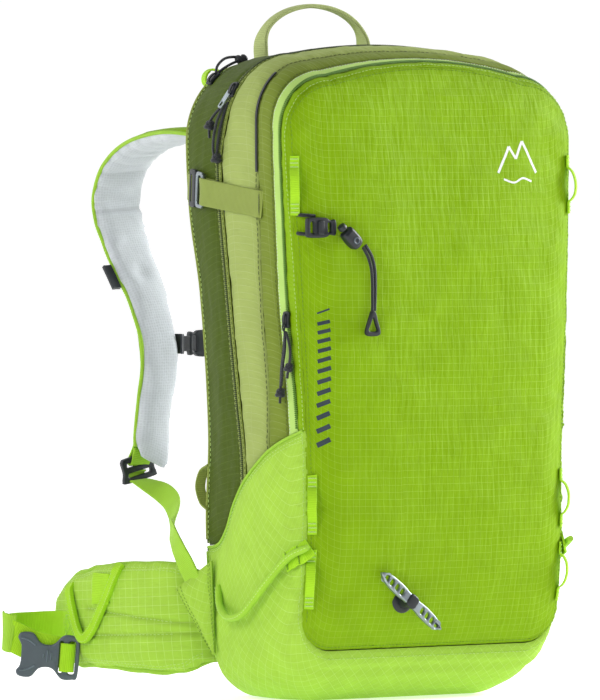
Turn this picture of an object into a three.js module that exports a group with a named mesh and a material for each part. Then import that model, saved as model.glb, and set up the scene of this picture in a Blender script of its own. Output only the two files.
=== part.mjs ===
// Ski backpack of about 30 litres, built as the separate panels, straps and hardware of the real one.
// Millimetres, +Z up. The origin is on the floor under the middle of the bag; the front panel faces -Y
// and the wearer is on the +Y side, so the wearer's left is -X.
import * as THREE from 'three';

// Driving dimensions
const CLEAR = 0.35; // free space between neighbouring pieces
const WALL = 2.4; // padded fabric panel
const HINGE_Z = 256; // where the front zip ends and the front flap folds
const DOOR_Z = 140; // where the back door folds above the lumbar pad
const FRONT_BULGE = 17; // how far the filled front panel stands out of its edge seam
const SIDE_TAPER = 0.065; // share of the width lost from shoulder height down to the base
const SHOULDER_Z = 500;
const WEBBING = { wide: 25, narrow: 20, thick: 2 };
const HIP_WEBBING = 30;
const CORD = { elastic: 3, pull: 2.6 };
const SIDES = [{ name: 'left', sign: -1 }, { name: 'right', sign: 1 }];

const FINISH = {
  lime: { color: 0x93c423, roughness: 0.75 },
  limeLight: { color: 0xb6dc70, roughness: 0.75 },
  tape: { color: 0xb8e072, roughness: 0.7 },
  oliveLight: { color: 0xaebe76, roughness: 0.8 },
  olive: { color: 0x8a9c48, roughness: 0.8 },
  oliveDark: { color: 0x6c8034, roughness: 0.8 },
  mesh: { color: 0xb4babf, roughness: 0.95 },
  plasticSheet: { color: 0xe6e8ea, roughness: 0.5 },
  hardware: { color: 0x1e262c, roughness: 0.45 },
  slate: { color: 0x49525a, roughness: 0.4 },
  metal: { color: 0x8f989e, roughness: 0.35, metalness: 0.9 },
  aluminium: { color: 0xb9bdc0, roughness: 0.4, metalness: 0.9 },
};

const pack = new THREE.Group();

function add(name, finish, geometry) {
  const mesh = new THREE.Mesh(geometry, new THREE.MeshStandardMaterial(FINISH[finish]));
  mesh.name = name;
  pack.add(mesh);
  return mesh;
}

// ---------- small helpers ----------

const vec = (x, y, z) => new THREE.Vector3(x, y, z);
const mix = THREE.MathUtils.lerp;

// A smooth function through a few [input, value] points, flat beyond its ends.
function profile(points) {
  return (t) => {
    const last = points.length - 1;
    if (t <= points[0][0]) return points[0][1];
    if (t >= points[last][0]) return points[last][1];
    const i = points.findIndex((p) => p[0] > t) - 1;
    const slope = (k) => {
      const a = points[Math.max(k - 1, 0)];
      const b = points[Math.min(k + 1, last)];
      return (b[1] - a[1]) / (b[0] - a[0]);
    };
    const [t0, v0] = points[i];
    const [t1, v1] = points[i + 1];
    const span = t1 - t0;
    const u = (t - t0) / span;
    const ease = u * u * (3 - 2 * u);
    const value = mix(v0, v1, ease) + span * u * (1 - u) * (slope(i) * (1 - u) - slope(i + 1) * u);
    return THREE.MathUtils.clamp(value, Math.min(v0, v1), Math.max(v0, v1));
  };
}

// One closed geometry from triangles, turned so that its faces point out.
function closed(points, triangles) {
  let volume = 0;
  for (const [a, b, c] of triangles) {
    volume += points[a].dot(new THREE.Vector3().crossVectors(points[b], points[c]));
  }
  const ordered = volume > 0 ? triangles : triangles.map(([a, b, c]) => [a, c, b]);
  const geometry = new THREE.BufferGeometry();
  const flat = points.flatMap((p) => [p.x, p.y, p.z]);
  geometry.setAttribute('position', new THREE.Float32BufferAttribute(flat, 3));
  geometry.setIndex(ordered.flat());
  geometry.computeVertexNormals();
  return geometry;
}

// A curved plate between two grids of points with the same rows and columns.
function plate(outer, inner) {
  const rows = outer.length;
  const columns = outer[0].length;
  const points = [...outer.flat(), ...inner.flat()];
  const out = (r, c) => r * columns + c;
  const inn = (r, c) => rows * columns + r * columns + c;
  const triangles = [];
  const quad = (a, b, c, d) => triangles.push([a, b, c], [a, c, d]);
  for (let r = 0; r + 1 < rows; r += 1) {
    for (let c = 0; c + 1 < columns; c += 1) {
      quad(out(r, c), out(r, c + 1), out(r + 1, c + 1), out(r + 1, c));
      quad(inn(r, c), inn(r + 1, c), inn(r + 1, c + 1), inn(r, c + 1));
    }
    const end = columns - 1;
    quad(out(r, 0), out(r + 1, 0), inn(r + 1, 0), inn(r, 0));
    quad(out(r, end), inn(r, end), inn(r + 1, end), out(r + 1, end));
  }
  for (let c = 0; c + 1 < columns; c += 1) {
    const end = rows - 1;
    quad(out(0, c), inn(0, c), inn(0, c + 1), out(0, c + 1));
    quad(out(end, c), out(end, c + 1), inn(end, c + 1), inn(end, c));
  }
  return closed(points, triangles);
}

// A solid through convex closed sections that all have the same number of points.
function loft(sections) {
  const count = sections[0].length;
  const points = sections.flat();
  const triangles = [];
  for (let s = 0; s + 1 < sections.length; s += 1) {
    for (let i = 0; i < count; i += 1) {
      const j = (i + 1) % count;
      const [a, b] = [s * count + i, s * count + j];
      triangles.push([a, b, b + count], [a, b + count, a + count]);
    }
  }
  const top = (sections.length - 1) * count;
  for (let i = 1; i + 1 < count; i += 1) {
    triangles.push([0, i + 1, i], [top, top + i, top + i + 1]);
  }
  return closed(points, triangles);
}

const along = (points, steps) => new THREE.CatmullRomCurve3(points, false, 'centripetal').getPoints(steps);

// A strap or webbing: a flat bar along a path. widthAlong is the direction its width lies in.
function strip(path, width, thick, widthAlong, chamfer = 0) {
  const sections = path.map((point, i) => {
    const before = path[Math.max(i - 1, 0)];
    const after = path[Math.min(i + 1, path.length - 1)];
    const tangent = after.clone().sub(before).normalize();
    const share = i / (path.length - 1);
    const asked = typeof widthAlong === 'function' ? widthAlong(share) : widthAlong;
    const side = asked.clone().addScaledVector(tangent, -asked.dot(tangent)).normalize();
    const normal = new THREE.Vector3().crossVectors(tangent, side);
    const halfWidth = (typeof width === 'function' ? width(share) : width) / 2;
    const halfThick = thick / 2;
    const cut = Math.min(chamfer, halfThick * 0.9);
    const corners = cut > 0
      ? [[1, 1, 0, cut], [1, 1, cut, 0], [-1, 1, cut, 0], [-1, 1, 0, cut],
        [-1, -1, 0, cut], [-1, -1, cut, 0], [1, -1, cut, 0], [1, -1, 0, cut]]
      : [[1, 1, 0, 0], [-1, 1, 0, 0], [-1, -1, 0, 0], [1, -1, 0, 0]];
    return corners.map(([w, t, cutWidth, cutThick]) => point.clone()
      .addScaledVector(side, w * (halfWidth - cutWidth))
      .addScaledVector(normal, t * (halfThick - cutThick)));
  });
  return loft(sections);
}

// A round cord or tube along a path.
function tube(points, diameter, steps, sides = 8) {
  const section = new THREE.Shape();
  const corner = (i) => [Math.cos((i / sides) * Math.PI * 2), Math.sin((i / sides) * Math.PI * 2)];
  section.moveTo(diameter / 2, 0);
  for (let i = 1; i < sides; i += 1) {
    section.lineTo(corner(i)[0] * (diameter / 2), corner(i)[1] * (diameter / 2));
  }
  const extrudePath = new THREE.CatmullRomCurve3(points, false, 'centripetal');
  return new THREE.ExtrudeGeometry(section, { steps, bevelEnabled: false, extrudePath });
}

// A plate with rounded corners and an optional slot, lying in XY, its thickness along Z.
function roundedPlate(width, height, thick, radius, slots = []) {
  const rectangle = (shape, x, y, w, h, r) => {
    const [right, top] = [x + w / 2, y + h / 2];
    const [left, bottom] = [x - w / 2, y - h / 2];
    shape.moveTo(left + r, bottom);
    shape.lineTo(right - r, bottom);
    shape.quadraticCurveTo(right, bottom, right, bottom + r);
    shape.lineTo(right, top - r);
    shape.quadraticCurveTo(right, top, right - r, top);
    shape.lineTo(left + r, top);
    shape.quadraticCurveTo(left, top, left, top - r);
    shape.lineTo(left, bottom + r);
    shape.quadraticCurveTo(left, bottom, left + r, bottom);
    return shape;
  };
  const shape = rectangle(new THREE.Shape(), 0, 0, width, height, radius);
  for (const [x, y, w, h] of slots) {
    shape.holes.push(rectangle(new THREE.Path(), x, y, w, h, Math.min(w, h) * 0.3));
  }
  const geometry = new THREE.ExtrudeGeometry(shape, { depth: thick, bevelEnabled: false, curveSegments: 2 });
  geometry.translate(0, 0, -thick / 2);
  return geometry;
}

// Turns a flat plate so that its X runs along `across`, its Y along `up`, and sets it down at a point.
function place(geometry, point, across, up) {
  const x = across.clone().normalize();
  const y = up.clone().addScaledVector(x, -up.dot(x)).normalize();
  const z = new THREE.Vector3().crossVectors(x, y);
  geometry.applyMatrix4(new THREE.Matrix4().makeBasis(x, y, z).setPosition(point));
  return geometry;
}

const X = vec(1, 0, 0);
const Y = vec(0, 1, 0);
const Z = vec(0, 0, 1);

// ---------- the bag's surface ----------

// The seams that run round the bag, from front to back: how deep each lies at every height, and its
// share of the depth, which sets the outline there.
const SEAM = {
  frontEdge: {
    depth: 0,
    y: profile([[0, -78], [60, -87.5], [140, -97], [225, -98], [376, -95], [503, -88], [600, -84]]),
  },
  frontZip: {
    depth: 0.08,
    y: profile([[0, -66], [140, -85.5], [256, -87.5], [371, -79], [503, -77], [600, -73]]),
  },
  tapeEdge: {
    depth: 0.15,
    y: profile([[0, -56], [140, -72], [256, -75], [375, -65], [503, -63], [600, -60]]),
  },
  middle: { depth: 0.3, y: profile([[0, -34], [279, -48], [370, -40], [440, -38], [600, -37]]) },
  mainZip: {
    depth: 0.55,
    y: profile([[0, 0], [214, -5], [278, 3], [370, 15], [494, 27], [545, 14], [600, 2]]),
  },
  backEdge: {
    depth: 1,
    y: profile([[0, 64], [60, 72], [160, 78], [245, 72], [373, 82], [455, 98], [600, 103]]),
  },
};

// The outline across the bag at a share of its depth.
const OUTLINE = {
  halfWidth: profile([[0, 160], [0.3, 158], [0.55, 156], [1, 141]]),
  frontShare: profile([[60, 0.905], [215, 0.905], [330, 0.94], [500, 1]]),
  top: profile([[0, 583], [0.3, 597], [0.55, 601], [1, 594]]),
  bottom: profile([[0, 50], [0.08, 28], [0.15, 14], [0.24, 5], [0.35, 0], [0.9, 0], [1, 12]]),
  crown: profile([[0, 15], [0.3, 9], [1, 8]]),
  topRadius: profile([[0, 52], [0.15, 52], [0.55, 62], [1, 72]]),
  bottomRadius: profile([[0, 34], [0.08, 46], [0.3, 60], [0.6, 48], [1, 40]]),
};

// The front edge narrows towards the base more than the sides do.
const halfWidth = (depth, z) => {
  const side = 1 - SIDE_TAPER * (Math.max(SHOULDER_Z - z, 0) / SHOULDER_Z);
  return OUTLINE.halfWidth(depth) * mix(OUTLINE.frontShare(z), side, Math.min(depth / 0.3, 1));
};

// The bag's half width at a place on its side, found from the two seams on either side of it.
function sideX(y, z) {
  const seams = Object.values(SEAM);
  const next = Math.max(seams.findIndex((seam) => seam.y(z) > y), 1);
  const [a, b] = [seams[next - 1], seams[next]];
  const share = THREE.MathUtils.clamp((y - a.y(z)) / (b.y(z) - a.y(z)), 0, 1);
  return halfWidth(mix(a.depth, b.depth, share), z);
}

const sideTop = (depth) => OUTLINE.top(depth) - OUTLINE.crown(depth) - OUTLINE.topRadius(depth);
const sideBottom = (depth) => OUTLINE.bottom(depth) + OUTLINE.bottomRadius(depth);

// The upper edge of the lower cover's wings, by how far back it is.
const wingTop = profile([[-110, 257], [-57, 237], [-9, 205], [15, 181], [31, 158], [50, 143], [80, 138]]);

// Half an outline over the top: from a height on the side, x > 0, to the middle of the top.
function overTop(depth, inset, from) {
  const z2 = sideTop(depth);
  const radius = OUTLINE.topRadius(depth);
  const flat = halfWidth(depth, z2) - radius;
  const points = [];
  for (let i = 0; i < 6; i += 1) {
    const z = mix(from, z2, i / 6);
    points.push([halfWidth(depth, z) - inset, z]);
  }
  for (let i = 0; i <= 4; i += 1) {
    const turn = (i / 4) * Math.PI * 0.5;
    points.push([flat + (radius - inset) * Math.cos(turn), z2 + (radius - inset) * Math.sin(turn)]);
  }
  for (let i = 1; i <= 3; i += 1) {
    const x = flat * (1 - i / 3);
    points.push([x, OUTLINE.top(depth) - OUTLINE.crown(depth) * (x / flat) ** 2 - inset]);
  }
  return points;
}

// Half an outline under the base: from a height on the side to the middle of the base.
function underBase(depth, inset, from) {
  const z1 = sideBottom(depth);
  const radius = OUTLINE.bottomRadius(depth);
  const flat = halfWidth(depth, z1) - radius;
  const points = [];
  for (let i = 0; i < 3; i += 1) {
    const z = mix(from, z1, i / 3);
    points.push([halfWidth(depth, z) - inset, z]);
  }
  for (let i = 0; i <= 4; i += 1) {
    const turn = (i / 4) * Math.PI * 0.5;
    points.push([flat + (radius - inset) * Math.cos(turn), z1 - (radius - inset) * Math.sin(turn)]);
  }
  points.push([flat / 2, OUTLINE.bottom(depth) + inset], [0, OUTLINE.bottom(depth) + inset]);
  return points;
}

const bothSides = (half) => [...half.map(([x, z]) => [-x, z]), ...half.slice(0, -1).reverse()];

// A panel that runs round the bag between two seams, over the top or under the base.
function gusset(seamA, seamB, rows, half, edge, front = CLEAR / 2, back = CLEAR / 2) {
  const row = (share, inset) => {
    const depth = mix(seamA.depth, seamB.depth, share);
    const yAt = (z) => mix(seamA.y(z) + front, seamB.y(z) - back, share);
    const from = edge(yAt(edge(yAt(HINGE_Z))));
    return bothSides(half(depth, inset, from)).map(([x, z]) => vec(x, yAt(z), z));
  };
  const shares = Array.from({ length: rows + 1 }, (_, i) => i / rows);
  return plate(shares.map((share) => row(share, 0)), shares.map((share) => row(share, WALL)));
}

// The upper and lower edge of the outline at one x, used by the panels that close its front and back.
function edgeTop(depth, x) {
  const radius = OUTLINE.topRadius(depth);
  const flat = halfWidth(depth, sideTop(depth)) - radius;
  const past = Math.min(Math.max(Math.abs(x) - flat, 0), radius);
  if (past > 0) return sideTop(depth) + Math.sqrt(radius ** 2 - past ** 2);
  return OUTLINE.top(depth) - OUTLINE.crown(depth) * (x / flat) ** 2;
}

function edgeBottom(depth, x) {
  const radius = OUTLINE.bottomRadius(depth);
  const flat = halfWidth(depth, sideBottom(depth)) - radius;
  const past = Math.min(Math.max(Math.abs(x) - flat, 0), radius);
  return sideBottom(depth) - Math.sqrt(radius ** 2 - past ** 2);
}

const COLUMNS = [-1, -0.985, -0.93, -0.84, -0.72, -0.48, -0.24, 0, 0.24, 0.48, 0.72, 0.84, 0.93, 0.985, 1];

const panelBulge = (share, z) => {
  const height = (z - 316) / 267;
  return FRONT_BULGE * (1 - share ** 4) * (1 - Math.min(height ** 4, 1));
};

// A panel across the bag. low and high cut it at a height; bulge stands it out along -Y.
function facePanel(depth, seamY, low, high, { bulge = 0, inset = 0, shift = 0, wall = WALL, rows = 8 } = {}) {
  const point = (share, level, inner) => {
    const x = share * (halfWidth(depth, SHOULDER_Z) - inset);
    const xLow = share * (halfWidth(depth, sideBottom(depth)) - inset);
    const bottom = Math.max(low, edgeBottom(depth, xLow) + inset);
    const top = Math.min(high, edgeTop(depth, x) - inset);
    const z = mix(bottom, top, level);
    const narrow = (halfWidth(depth, z) - inset) / (halfWidth(depth, SHOULDER_Z) - inset);
    const y = seamY(z) + shift - bulge * panelBulge(share, z) + (inner ? wall : 0);
    return vec(x * narrow, y, z);
  };
  const levels = Array.from({ length: rows + 1 }, (_, i) => i / rows);
  const grid = (inner) => levels.map((level) => COLUMNS.map((share) => point(share, level, inner)));
  return plate(grid(false), grid(true));
}

// ---------- shell of the bag ----------

const BACK_FACE = -WALL; // the back panels lie just inside the back seam
const NO_LIMIT = 1000; // higher than any panel, so that its outline alone ends it

function shell() {
  const behindPanel = WALL + CLEAR;
  add('lower_cover', 'limeLight', gusset(SEAM.frontEdge, SEAM.backEdge, 9, underBase, (y) => wingTop(y) - CLEAR,
    behindPanel, behindPanel));
  add('front_lower_panel', 'lime', facePanel(0, SEAM.frontEdge.y, 0, HINGE_Z - 1.5, { bulge: 1, rows: 6 }));
  add('front_panel', 'lime', facePanel(0, SEAM.frontEdge.y, HINGE_Z + 1.5, NO_LIMIT, { bulge: 1, rows: 8 }));
  const above = (gap) => (y) => wingTop(y) + gap;
  add('front_flap_gusset', 'lime', gusset(SEAM.frontEdge, SEAM.frontZip, 1, overTop,
    () => HINGE_Z + 3, behindPanel, CLEAR));
  add('front_zip', 'tape', gusset(SEAM.frontZip, SEAM.tapeEdge, 1, overTop, above(1)));
  add('front_gusset', 'olive', gusset(SEAM.tapeEdge, SEAM.middle, 1, overTop, above(1)));
  add('side_gusset', 'oliveLight', gusset(SEAM.middle, SEAM.mainZip, 2, overTop, above(1), CLEAR / 2, CLEAR));
  add('rear_gusset', 'oliveDark', gusset(SEAM.mainZip, SEAM.backEdge, 4, overTop,
    (y) => Math.max(wingTop(y) + 1, DOOR_Z + 2), CLEAR, behindPanel + 1.5));
  add('frame_sheet', 'oliveDark', facePanel(1, SEAM.backEdge.y, DOOR_Z + 2, NO_LIMIT, { shift: BACK_FACE }));
  add('lumbar_panel', 'limeLight', facePanel(1, SEAM.backEdge.y, 0, DOOR_Z - 2, { shift: BACK_FACE, rows: 3 }));
  add('divider', 'olive', facePanel(0.12, SEAM.tapeEdge.y, 40, NO_LIMIT,
    { inset: WALL + 3.5, shift: 2, wall: 1.5, rows: 7 }));
}

// ---------- back system ----------

const backY = SEAM.backEdge.y;

// A pad on the back: a closed cushion with a chamfered edge, following the back's curve.
function backPad(xLow, xHigh, zLow, zHigh, thick, squareBase = false) {
  const edge = 7;
  const rows = 6;
  const shares = Array.from({ length: rows + 1 }, (_, i) => i / rows);
  const levels = [zLow, ...shares.map((s) => mix(zLow + edge, zHigh - edge, s)), zHigh];
  const columns = [xLow, xLow + edge, (xLow + xHigh) / 2, xHigh - edge, xHigh];
  const grid = (raised) => levels.map((z, r) => columns.map((x, c) => {
    const atBase = r === 0 && !squareBase;
    const atEdge = atBase || r === levels.length - 1 || c === 0 || c === columns.length - 1;
    const height = raised ? (atEdge ? thick * 0.45 : thick) : 0;
    return vec(x, backY(z) + 2 + height, z);
  }));
  return plate(grid(true), grid(false));
}

function backSystem() {
  for (const { name, sign } of SIDES) {
    const xs = [sign * 24, sign * 112].sort((a, b) => a - b);
    add(`back_pad_${name}`, 'mesh', backPad(xs[0], xs[1], 158, 480, 12));
  }
  // The lumbar pad reaches the floor, so that the bag stands on its base and on this pad.
  add('lumbar_pad', 'mesh', backPad(-92, 92, 0, 128, 26, true));
  // The stay is one bent aluminium rod, standing as an upturned U inside the frame sheet.
  const rodX = 78;
  const rod = [];
  const rodY = (z) => backY(z) - WALL - 4.2;
  for (let z = 160; z <= 500; z += 68) rod.push(vec(-rodX, rodY(z), z));
  for (let i = 1; i < 4; i += 1) {
    const turn = (i / 4) * Math.PI;
    rod.push(vec(-rodX * Math.cos(turn), rodY(520), 508 + 40 * Math.sin(turn)));
  }
  for (let z = 500; z >= 160; z -= 68) rod.push(vec(rodX, rodY(z), z));
  add('frame_stay', 'aluminium', tube(rod, 5, 26));
}

// ---------- haul loop ----------

const HAUL = { y: 100, base: 603, apex: 640, halfSpan: 58.5 };

function haulLoop() {
  const arch = [];
  const steps = 14;
  for (let i = 0; i <= steps; i += 1) {
    const turn = (i / steps) * Math.PI;
    const x = -HAUL.halfSpan * Math.cos(turn);
    arch.push(vec(x, HAUL.y, HAUL.base + (HAUL.apex - HAUL.base) * Math.sin(turn)));
  }
  add('haul_loop', 'olive', strip(arch, WEBBING.narrow, 3, Y));
}

// ---------- shoulder harness ----------

const STRAP = { x: 76, width: 62, thick: 10 };

// The strap's middle line seen from the side: out of the yoke, over the shoulder and down the chest.
const STRAP_LINE = [
  [119, 508], [150, 519], [203, 521], [256, 511], [290, 491], [306, 466], [308, 444], [298, 413],
  [277, 382], [256, 352], [243, 328], [242, 304], [248, 274], [251, 243], [250, 222], [248, 204],
];

function shoulderStrap({ name, sign }) {
  const line = STRAP_LINE.map(([y, z], i) => {
    const share = i / (STRAP_LINE.length - 1);
    return vec(sign * (STRAP.x + 6 * Math.sin(share * Math.PI * 2)), y, z);
  });
  const width = (share) => STRAP.width - 12 * Math.max(share - 0.8, 0) / 0.2;
  add(`shoulder_strap_${name}`, 'mesh', strip(along(line, 26), width, STRAP.thick, X, 3.5));

  // Lower webbing: from the ladder lock towards its anchor, which stays on the bag.
  const lower = [vec(sign * 89, 262, 186), vec(sign * 88, 238, 181), vec(sign * 87, 215, 176),
    vec(sign * 93, 190, 170), vec(sign * 107, 170, 161), vec(sign * 122, 153, 153)];
  add(`strap_webbing_${name}`, 'limeLight', strip(along(lower, 14), WEBBING.narrow, WEBBING.thick, (share) => (
    vec(-sign * (1 - share), 0, share))));

  const lock = roundedPlate(38, 24, 5, 4, [[0, 5, 26, 4.5], [0, -5, 26, 4.5]]);
  add(`ladder_lock_${name}`, 'hardware', place(lock, vec(sign * 89, 260, 205), X, vec(0, -0.1, 1)));

  // Anchor: a doubled three-cornered patch sewn along the cover's rear seam, and its end of webbing.
  const anchor = [vec(sign * 139, 66, 42), vec(sign * 145, 72, 76), vec(sign * 150, 80, 111),
    vec(sign * 154, 93, 133), vec(sign * 148, 115, 149), vec(sign * 134, 138, 153)];
  const patch = (share) => (share > 0.53 ? WEBBING.narrow : mix(6, 54, share * 2));
  add(`strap_anchor_${name}`, 'limeLight', strip(along(anchor, 18), patch, WEBBING.thick, (share) => (
    vec(-sign * 6 * (1 - share), -26 * (1 - share), 32))));

  // Sternum strap: each half clips on the strap's inner edge and slides up and down.
  const half = roundedPlate(34, 27, 7, 5, [[sign * 9, 0, 5, 16]]);
  add(`sternum_buckle_${name}`, 'hardware', place(half, vec(sign * 20.5, 252, 322), X, Z));
}

// ---------- hip belt ----------

const BELT_LINE = [[104, 90], [122, 96], [139, 112], [150, 140], [156, 175], [158, 215], [156, 250], [152, 285],
  [150, 306]];

function hipBelt({ name, sign }) {
  const line = BELT_LINE.map(([x, y]) => vec(sign * x, y, 0));
  const path = along(line, 18);
  const topEdge = profile([[88, 112], [110, 128], [150, 131], [215, 126], [262, 116], [290, 100], [306, 84]]);
  const lowEdge = profile([[88, 30], [110, 14], [240, 12], [275, 16], [295, 30], [306, 44]]);
  const sections = path.map((point, i) => {
    const before = path[Math.max(i - 1, 0)];
    const after = path[Math.min(i + 1, path.length - 1)];
    const normal = new THREE.Vector3().crossVectors(after.clone().sub(before).normalize(), Z);
    const half = (i === 0 || i === path.length - 1) ? 3.5 : 5.5;
    const [low, high] = [lowEdge(point.y), topEdge(point.y)];
    const corner = (across, z) => vec(point.x, point.y, z).addScaledVector(normal, across);
    return [corner(half * 0.5, low), corner(half, low + 8), corner(half, high - 8), corner(half * 0.5, high),
      corner(-half * 0.5, high), corner(-half, high - 8), corner(-half, low + 8), corner(-half * 0.5, low)];
  });
  add(`hip_wing_${name}`, 'lime', loft(sections));

  // Webbing off the wing's outer face; it turns back on itself and carries a buckle half.
  const webbing = [[161, 282, 56], [165, 300, 55], [176, 312, 54], [193, 316, 51], [208, 308, 49],
    [215, 295, 47], [215, 284, 45]].map(([x, y, z]) => vec(sign * x, y, z));
  add(`hip_webbing_${name}`, 'limeLight', strip(along(webbing, 16), HIP_WEBBING, WEBBING.thick, Z));

  const buckle = roundedPlate(58, 41, 7, 8, [[22, 0, 5, 31], [12, 0, 4, 31]]);
  const middle = vec(sign * 190, 262, 30);
  add(`hip_buckle_${name}`, 'slate', place(buckle, middle, vec(sign * 0.819, 0.574, 0.08), Z));

  // Gear loop: tubular webbing hanging in a V on the outside of the wing.
  const gear = [[167, 181, 114], [169, 197, 85], [171, 216, 57], [171.5, 230, 48], [170.5, 243, 58],
    [167, 261, 90]].map(([x, y, z]) => vec(sign * x, y, z));
  add(`gear_loop_${name}`, 'limeLight', tube(gear, 8, 16));
}

// ---------- straps and loops on the sides ----------

const COMPRESSION_Z = 470;

function compression({ name, sign }) {
  // The strap spans the main zip in a straight line, clear of the back door as it opens.
  const strapX = halfWidth(SEAM.middle.depth, COMPRESSION_Z) + 2;
  const path = [-44, -25, 0, 25, 48].map((y) => vec(sign * strapX, y, mix(457, 468, (y + 44) / 100)));
  add(`compression_strap_${name}`, 'olive', strip(path, WEBBING.wide, WEBBING.thick, Z));
  const hook = roundedPlate(33, 32, 5, 4, [[-6, 0, 6, 24], [8, 0, 6, 24]]);
  const middle = vec(sign * (sideX(67, COMPRESSION_Z) + 5.8), 67, COMPRESSION_Z);
  add(`compression_hook_${name}`, 'hardware', place(hook, middle, vec(sign * -0.24, 1, 0.1), Z));
}

const SKI_LOOP = [[46, 104], [36, 88], [20, 80], [2, 77], [-23, 84], [-56, 112], [-83, 136], [-105, 146]];

function skiLoop({ name, sign }) {
  const path = SKI_LOOP.map(([y, z], i) => {
    const share = i / (SKI_LOOP.length - 1);
    return vec(sign * (sideX(y, z) + 5.5 + 9 * Math.sin(share * Math.PI)), y, z);
  });
  add(`ski_loop_${name}`, 'limeLight', tube(path, 7, 17));
}

// Lash loops down both edges of the front panel: a short webbing that stands off the panel.
const LASH = { fromEdge: 8, length: 30, stand: 9 };
const LASH_HEIGHTS = { upper: 474, middle: 184, lower: 116 };

function lashLoop({ name, sign }, level, z) {
  const x = halfWidth(0, z) - LASH.fromEdge;
  const share = x / halfWidth(0, z);
  const face = (height) => SEAM.frontEdge.y(height) - panelBulge(share, height) - 2.2;
  const half = LASH.length / 2;
  const sized = (dz, out) => vec(sign * x, face(z + dz) - out, z + dz);
  const path = [sized(half + 4, 1.6), sized(half, 1.8), sized(half * 0.55, LASH.stand * 0.8), sized(0, LASH.stand),
    sized(-half * 0.55, LASH.stand * 0.8), sized(-half, 1.8), sized(-half - 4, 1.6)];
  add(`lash_loop_${level}_${name}`, 'lime', strip(path, 8, 1.8, X));
}

// ---------- zip sliders and their pulls ----------

function slider(name, point, across, up) {
  add(name, 'hardware', place(roundedPlate(9, 15, 3.4, 2.5), point, across, up));
}

// A point on the rounded upper left corner, so many degrees above its side, standing off the fabric.
function onTop(depth, degrees, y, stand) {
  const radius = OUTLINE.topRadius(depth);
  const flat = halfWidth(depth, sideTop(depth)) - radius;
  const turn = THREE.MathUtils.degToRad(degrees);
  const reach = radius + stand;
  return vec(-(flat + reach * Math.cos(turn)), y, sideTop(depth) + reach * Math.sin(turn));
}

function zips() {
  const frontSliderX = -(halfWidth(0.08, 352) + 2.7);
  slider('front_zip_slider', vec(frontSliderX, -80.5, 352), Y, Z);
  const frontPull = [[-81, 342], [-79, 325], [-76, 308], [-74, 290], [-73, 274]];
  add('front_zip_pull', 'hardware', tube(frontPull.map(([y, z]) => vec(frontSliderX - 2.2, y, z)), CORD.pull, 10));

  // The main zip's side slider stands where the zip turns over the shoulder.
  slider('main_zip_slider_side', onTop(0.55, 28, 11, 2.4), Y, vec(0.47, 0, 0.88));
  const mainPull = [[-156, 13, 550], [-159, 16, 537], [-161, 19, 523], [-161.4, 22, 508], [-161.4, 24, 494]];
  add('main_zip_pull_side', 'hardware', tube(mainPull.map((p) => vec(...p)), CORD.pull, 10));

  // A small zip at the top of the back door, near its seam.
  slider('rear_zip_slider', onTop(0.92, 48, 85, 2.8), Y, vec(0.743, 0, 0.669));
  const rearPull = [54, 60, 67, 74, 81].map((degrees) => onTop(0.92, degrees, 85, 3.4));
  add('rear_zip_pull', 'hardware', tube(rearPull, CORD.pull, 8));
}

// ---------- ice axe holder ----------

const AXE = { x: -122, z: 436, toggleX: -42, toggleZ: 94 };
const panelFace = (x, z) => SEAM.frontEdge.y(z) - panelBulge(x / halfWidth(0, z), z) - 1;

function axeHolder() {
  const clipY = panelFace(AXE.x, AXE.z) - 3.4;
  const clip = roundedPlate(32, 18, 4.4, 3, [[-10, 0, 4.4, 11], [9, 0, 4.4, 11]]);
  add('axe_clip', 'hardware', place(clip, vec(AXE.x - 14, clipY, AXE.z), X, vec(-0.1, 0, 1)));
  const lockX = AXE.x + 15;
  const lockY = panelFace(lockX, 424) - 8;
  const lockAlong = vec(0.72, 0, -0.69).normalize();
  const lockUp = vec(0.69, 0, 0.72);
  const barrel = roundedPlate(20, 13, 11, 4);
  add('cord_lock', 'hardware', place(barrel, vec(lockX, lockY, 426), lockAlong, lockUp));
  const button = new THREE.CylinderGeometry(4, 4, 5, 12);
  const buttonAt = vec(lockX, lockY, 426).addScaledVector(lockAlong, -14.4);
  add('cord_lock_button', 'hardware', place(button, buttonAt, lockUp, lockAlong));
  const cordY = lockY - 1;
  const hangY = panelFace(lockX + 22, 336) - 4;
  const cord = [vec(lockX + 12, cordY, 418), vec(lockX + 17, cordY - 1, 409), vec(lockX + 20, cordY - 2, 398),
    vec(lockX + 22, mix(cordY, hangY, 0.7), 386), vec(lockX + 22, hangY, 372), vec(lockX + 22, hangY, 360)];
  add('axe_cord', 'hardware', tube(cord, CORD.elastic, 18));
  const pull = new THREE.Shape();
  pull.moveTo(-4, 11);
  pull.lineTo(4, 11);
  pull.lineTo(9, -8);
  pull.quadraticCurveTo(9, -12, 5, -12);
  pull.lineTo(-5, -12);
  pull.quadraticCurveTo(-9, -12, -9, -8);
  pull.closePath();
  const pullShape = new THREE.ExtrudeGeometry(pull, { depth: 4, bevelEnabled: false, curveSegments: 3 });
  pullShape.translate(0, 0, -2);
  add('axe_cord_pull', 'hardware', place(pullShape, vec(lockX + 22, hangY, 348.4), X, Z));
}

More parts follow.
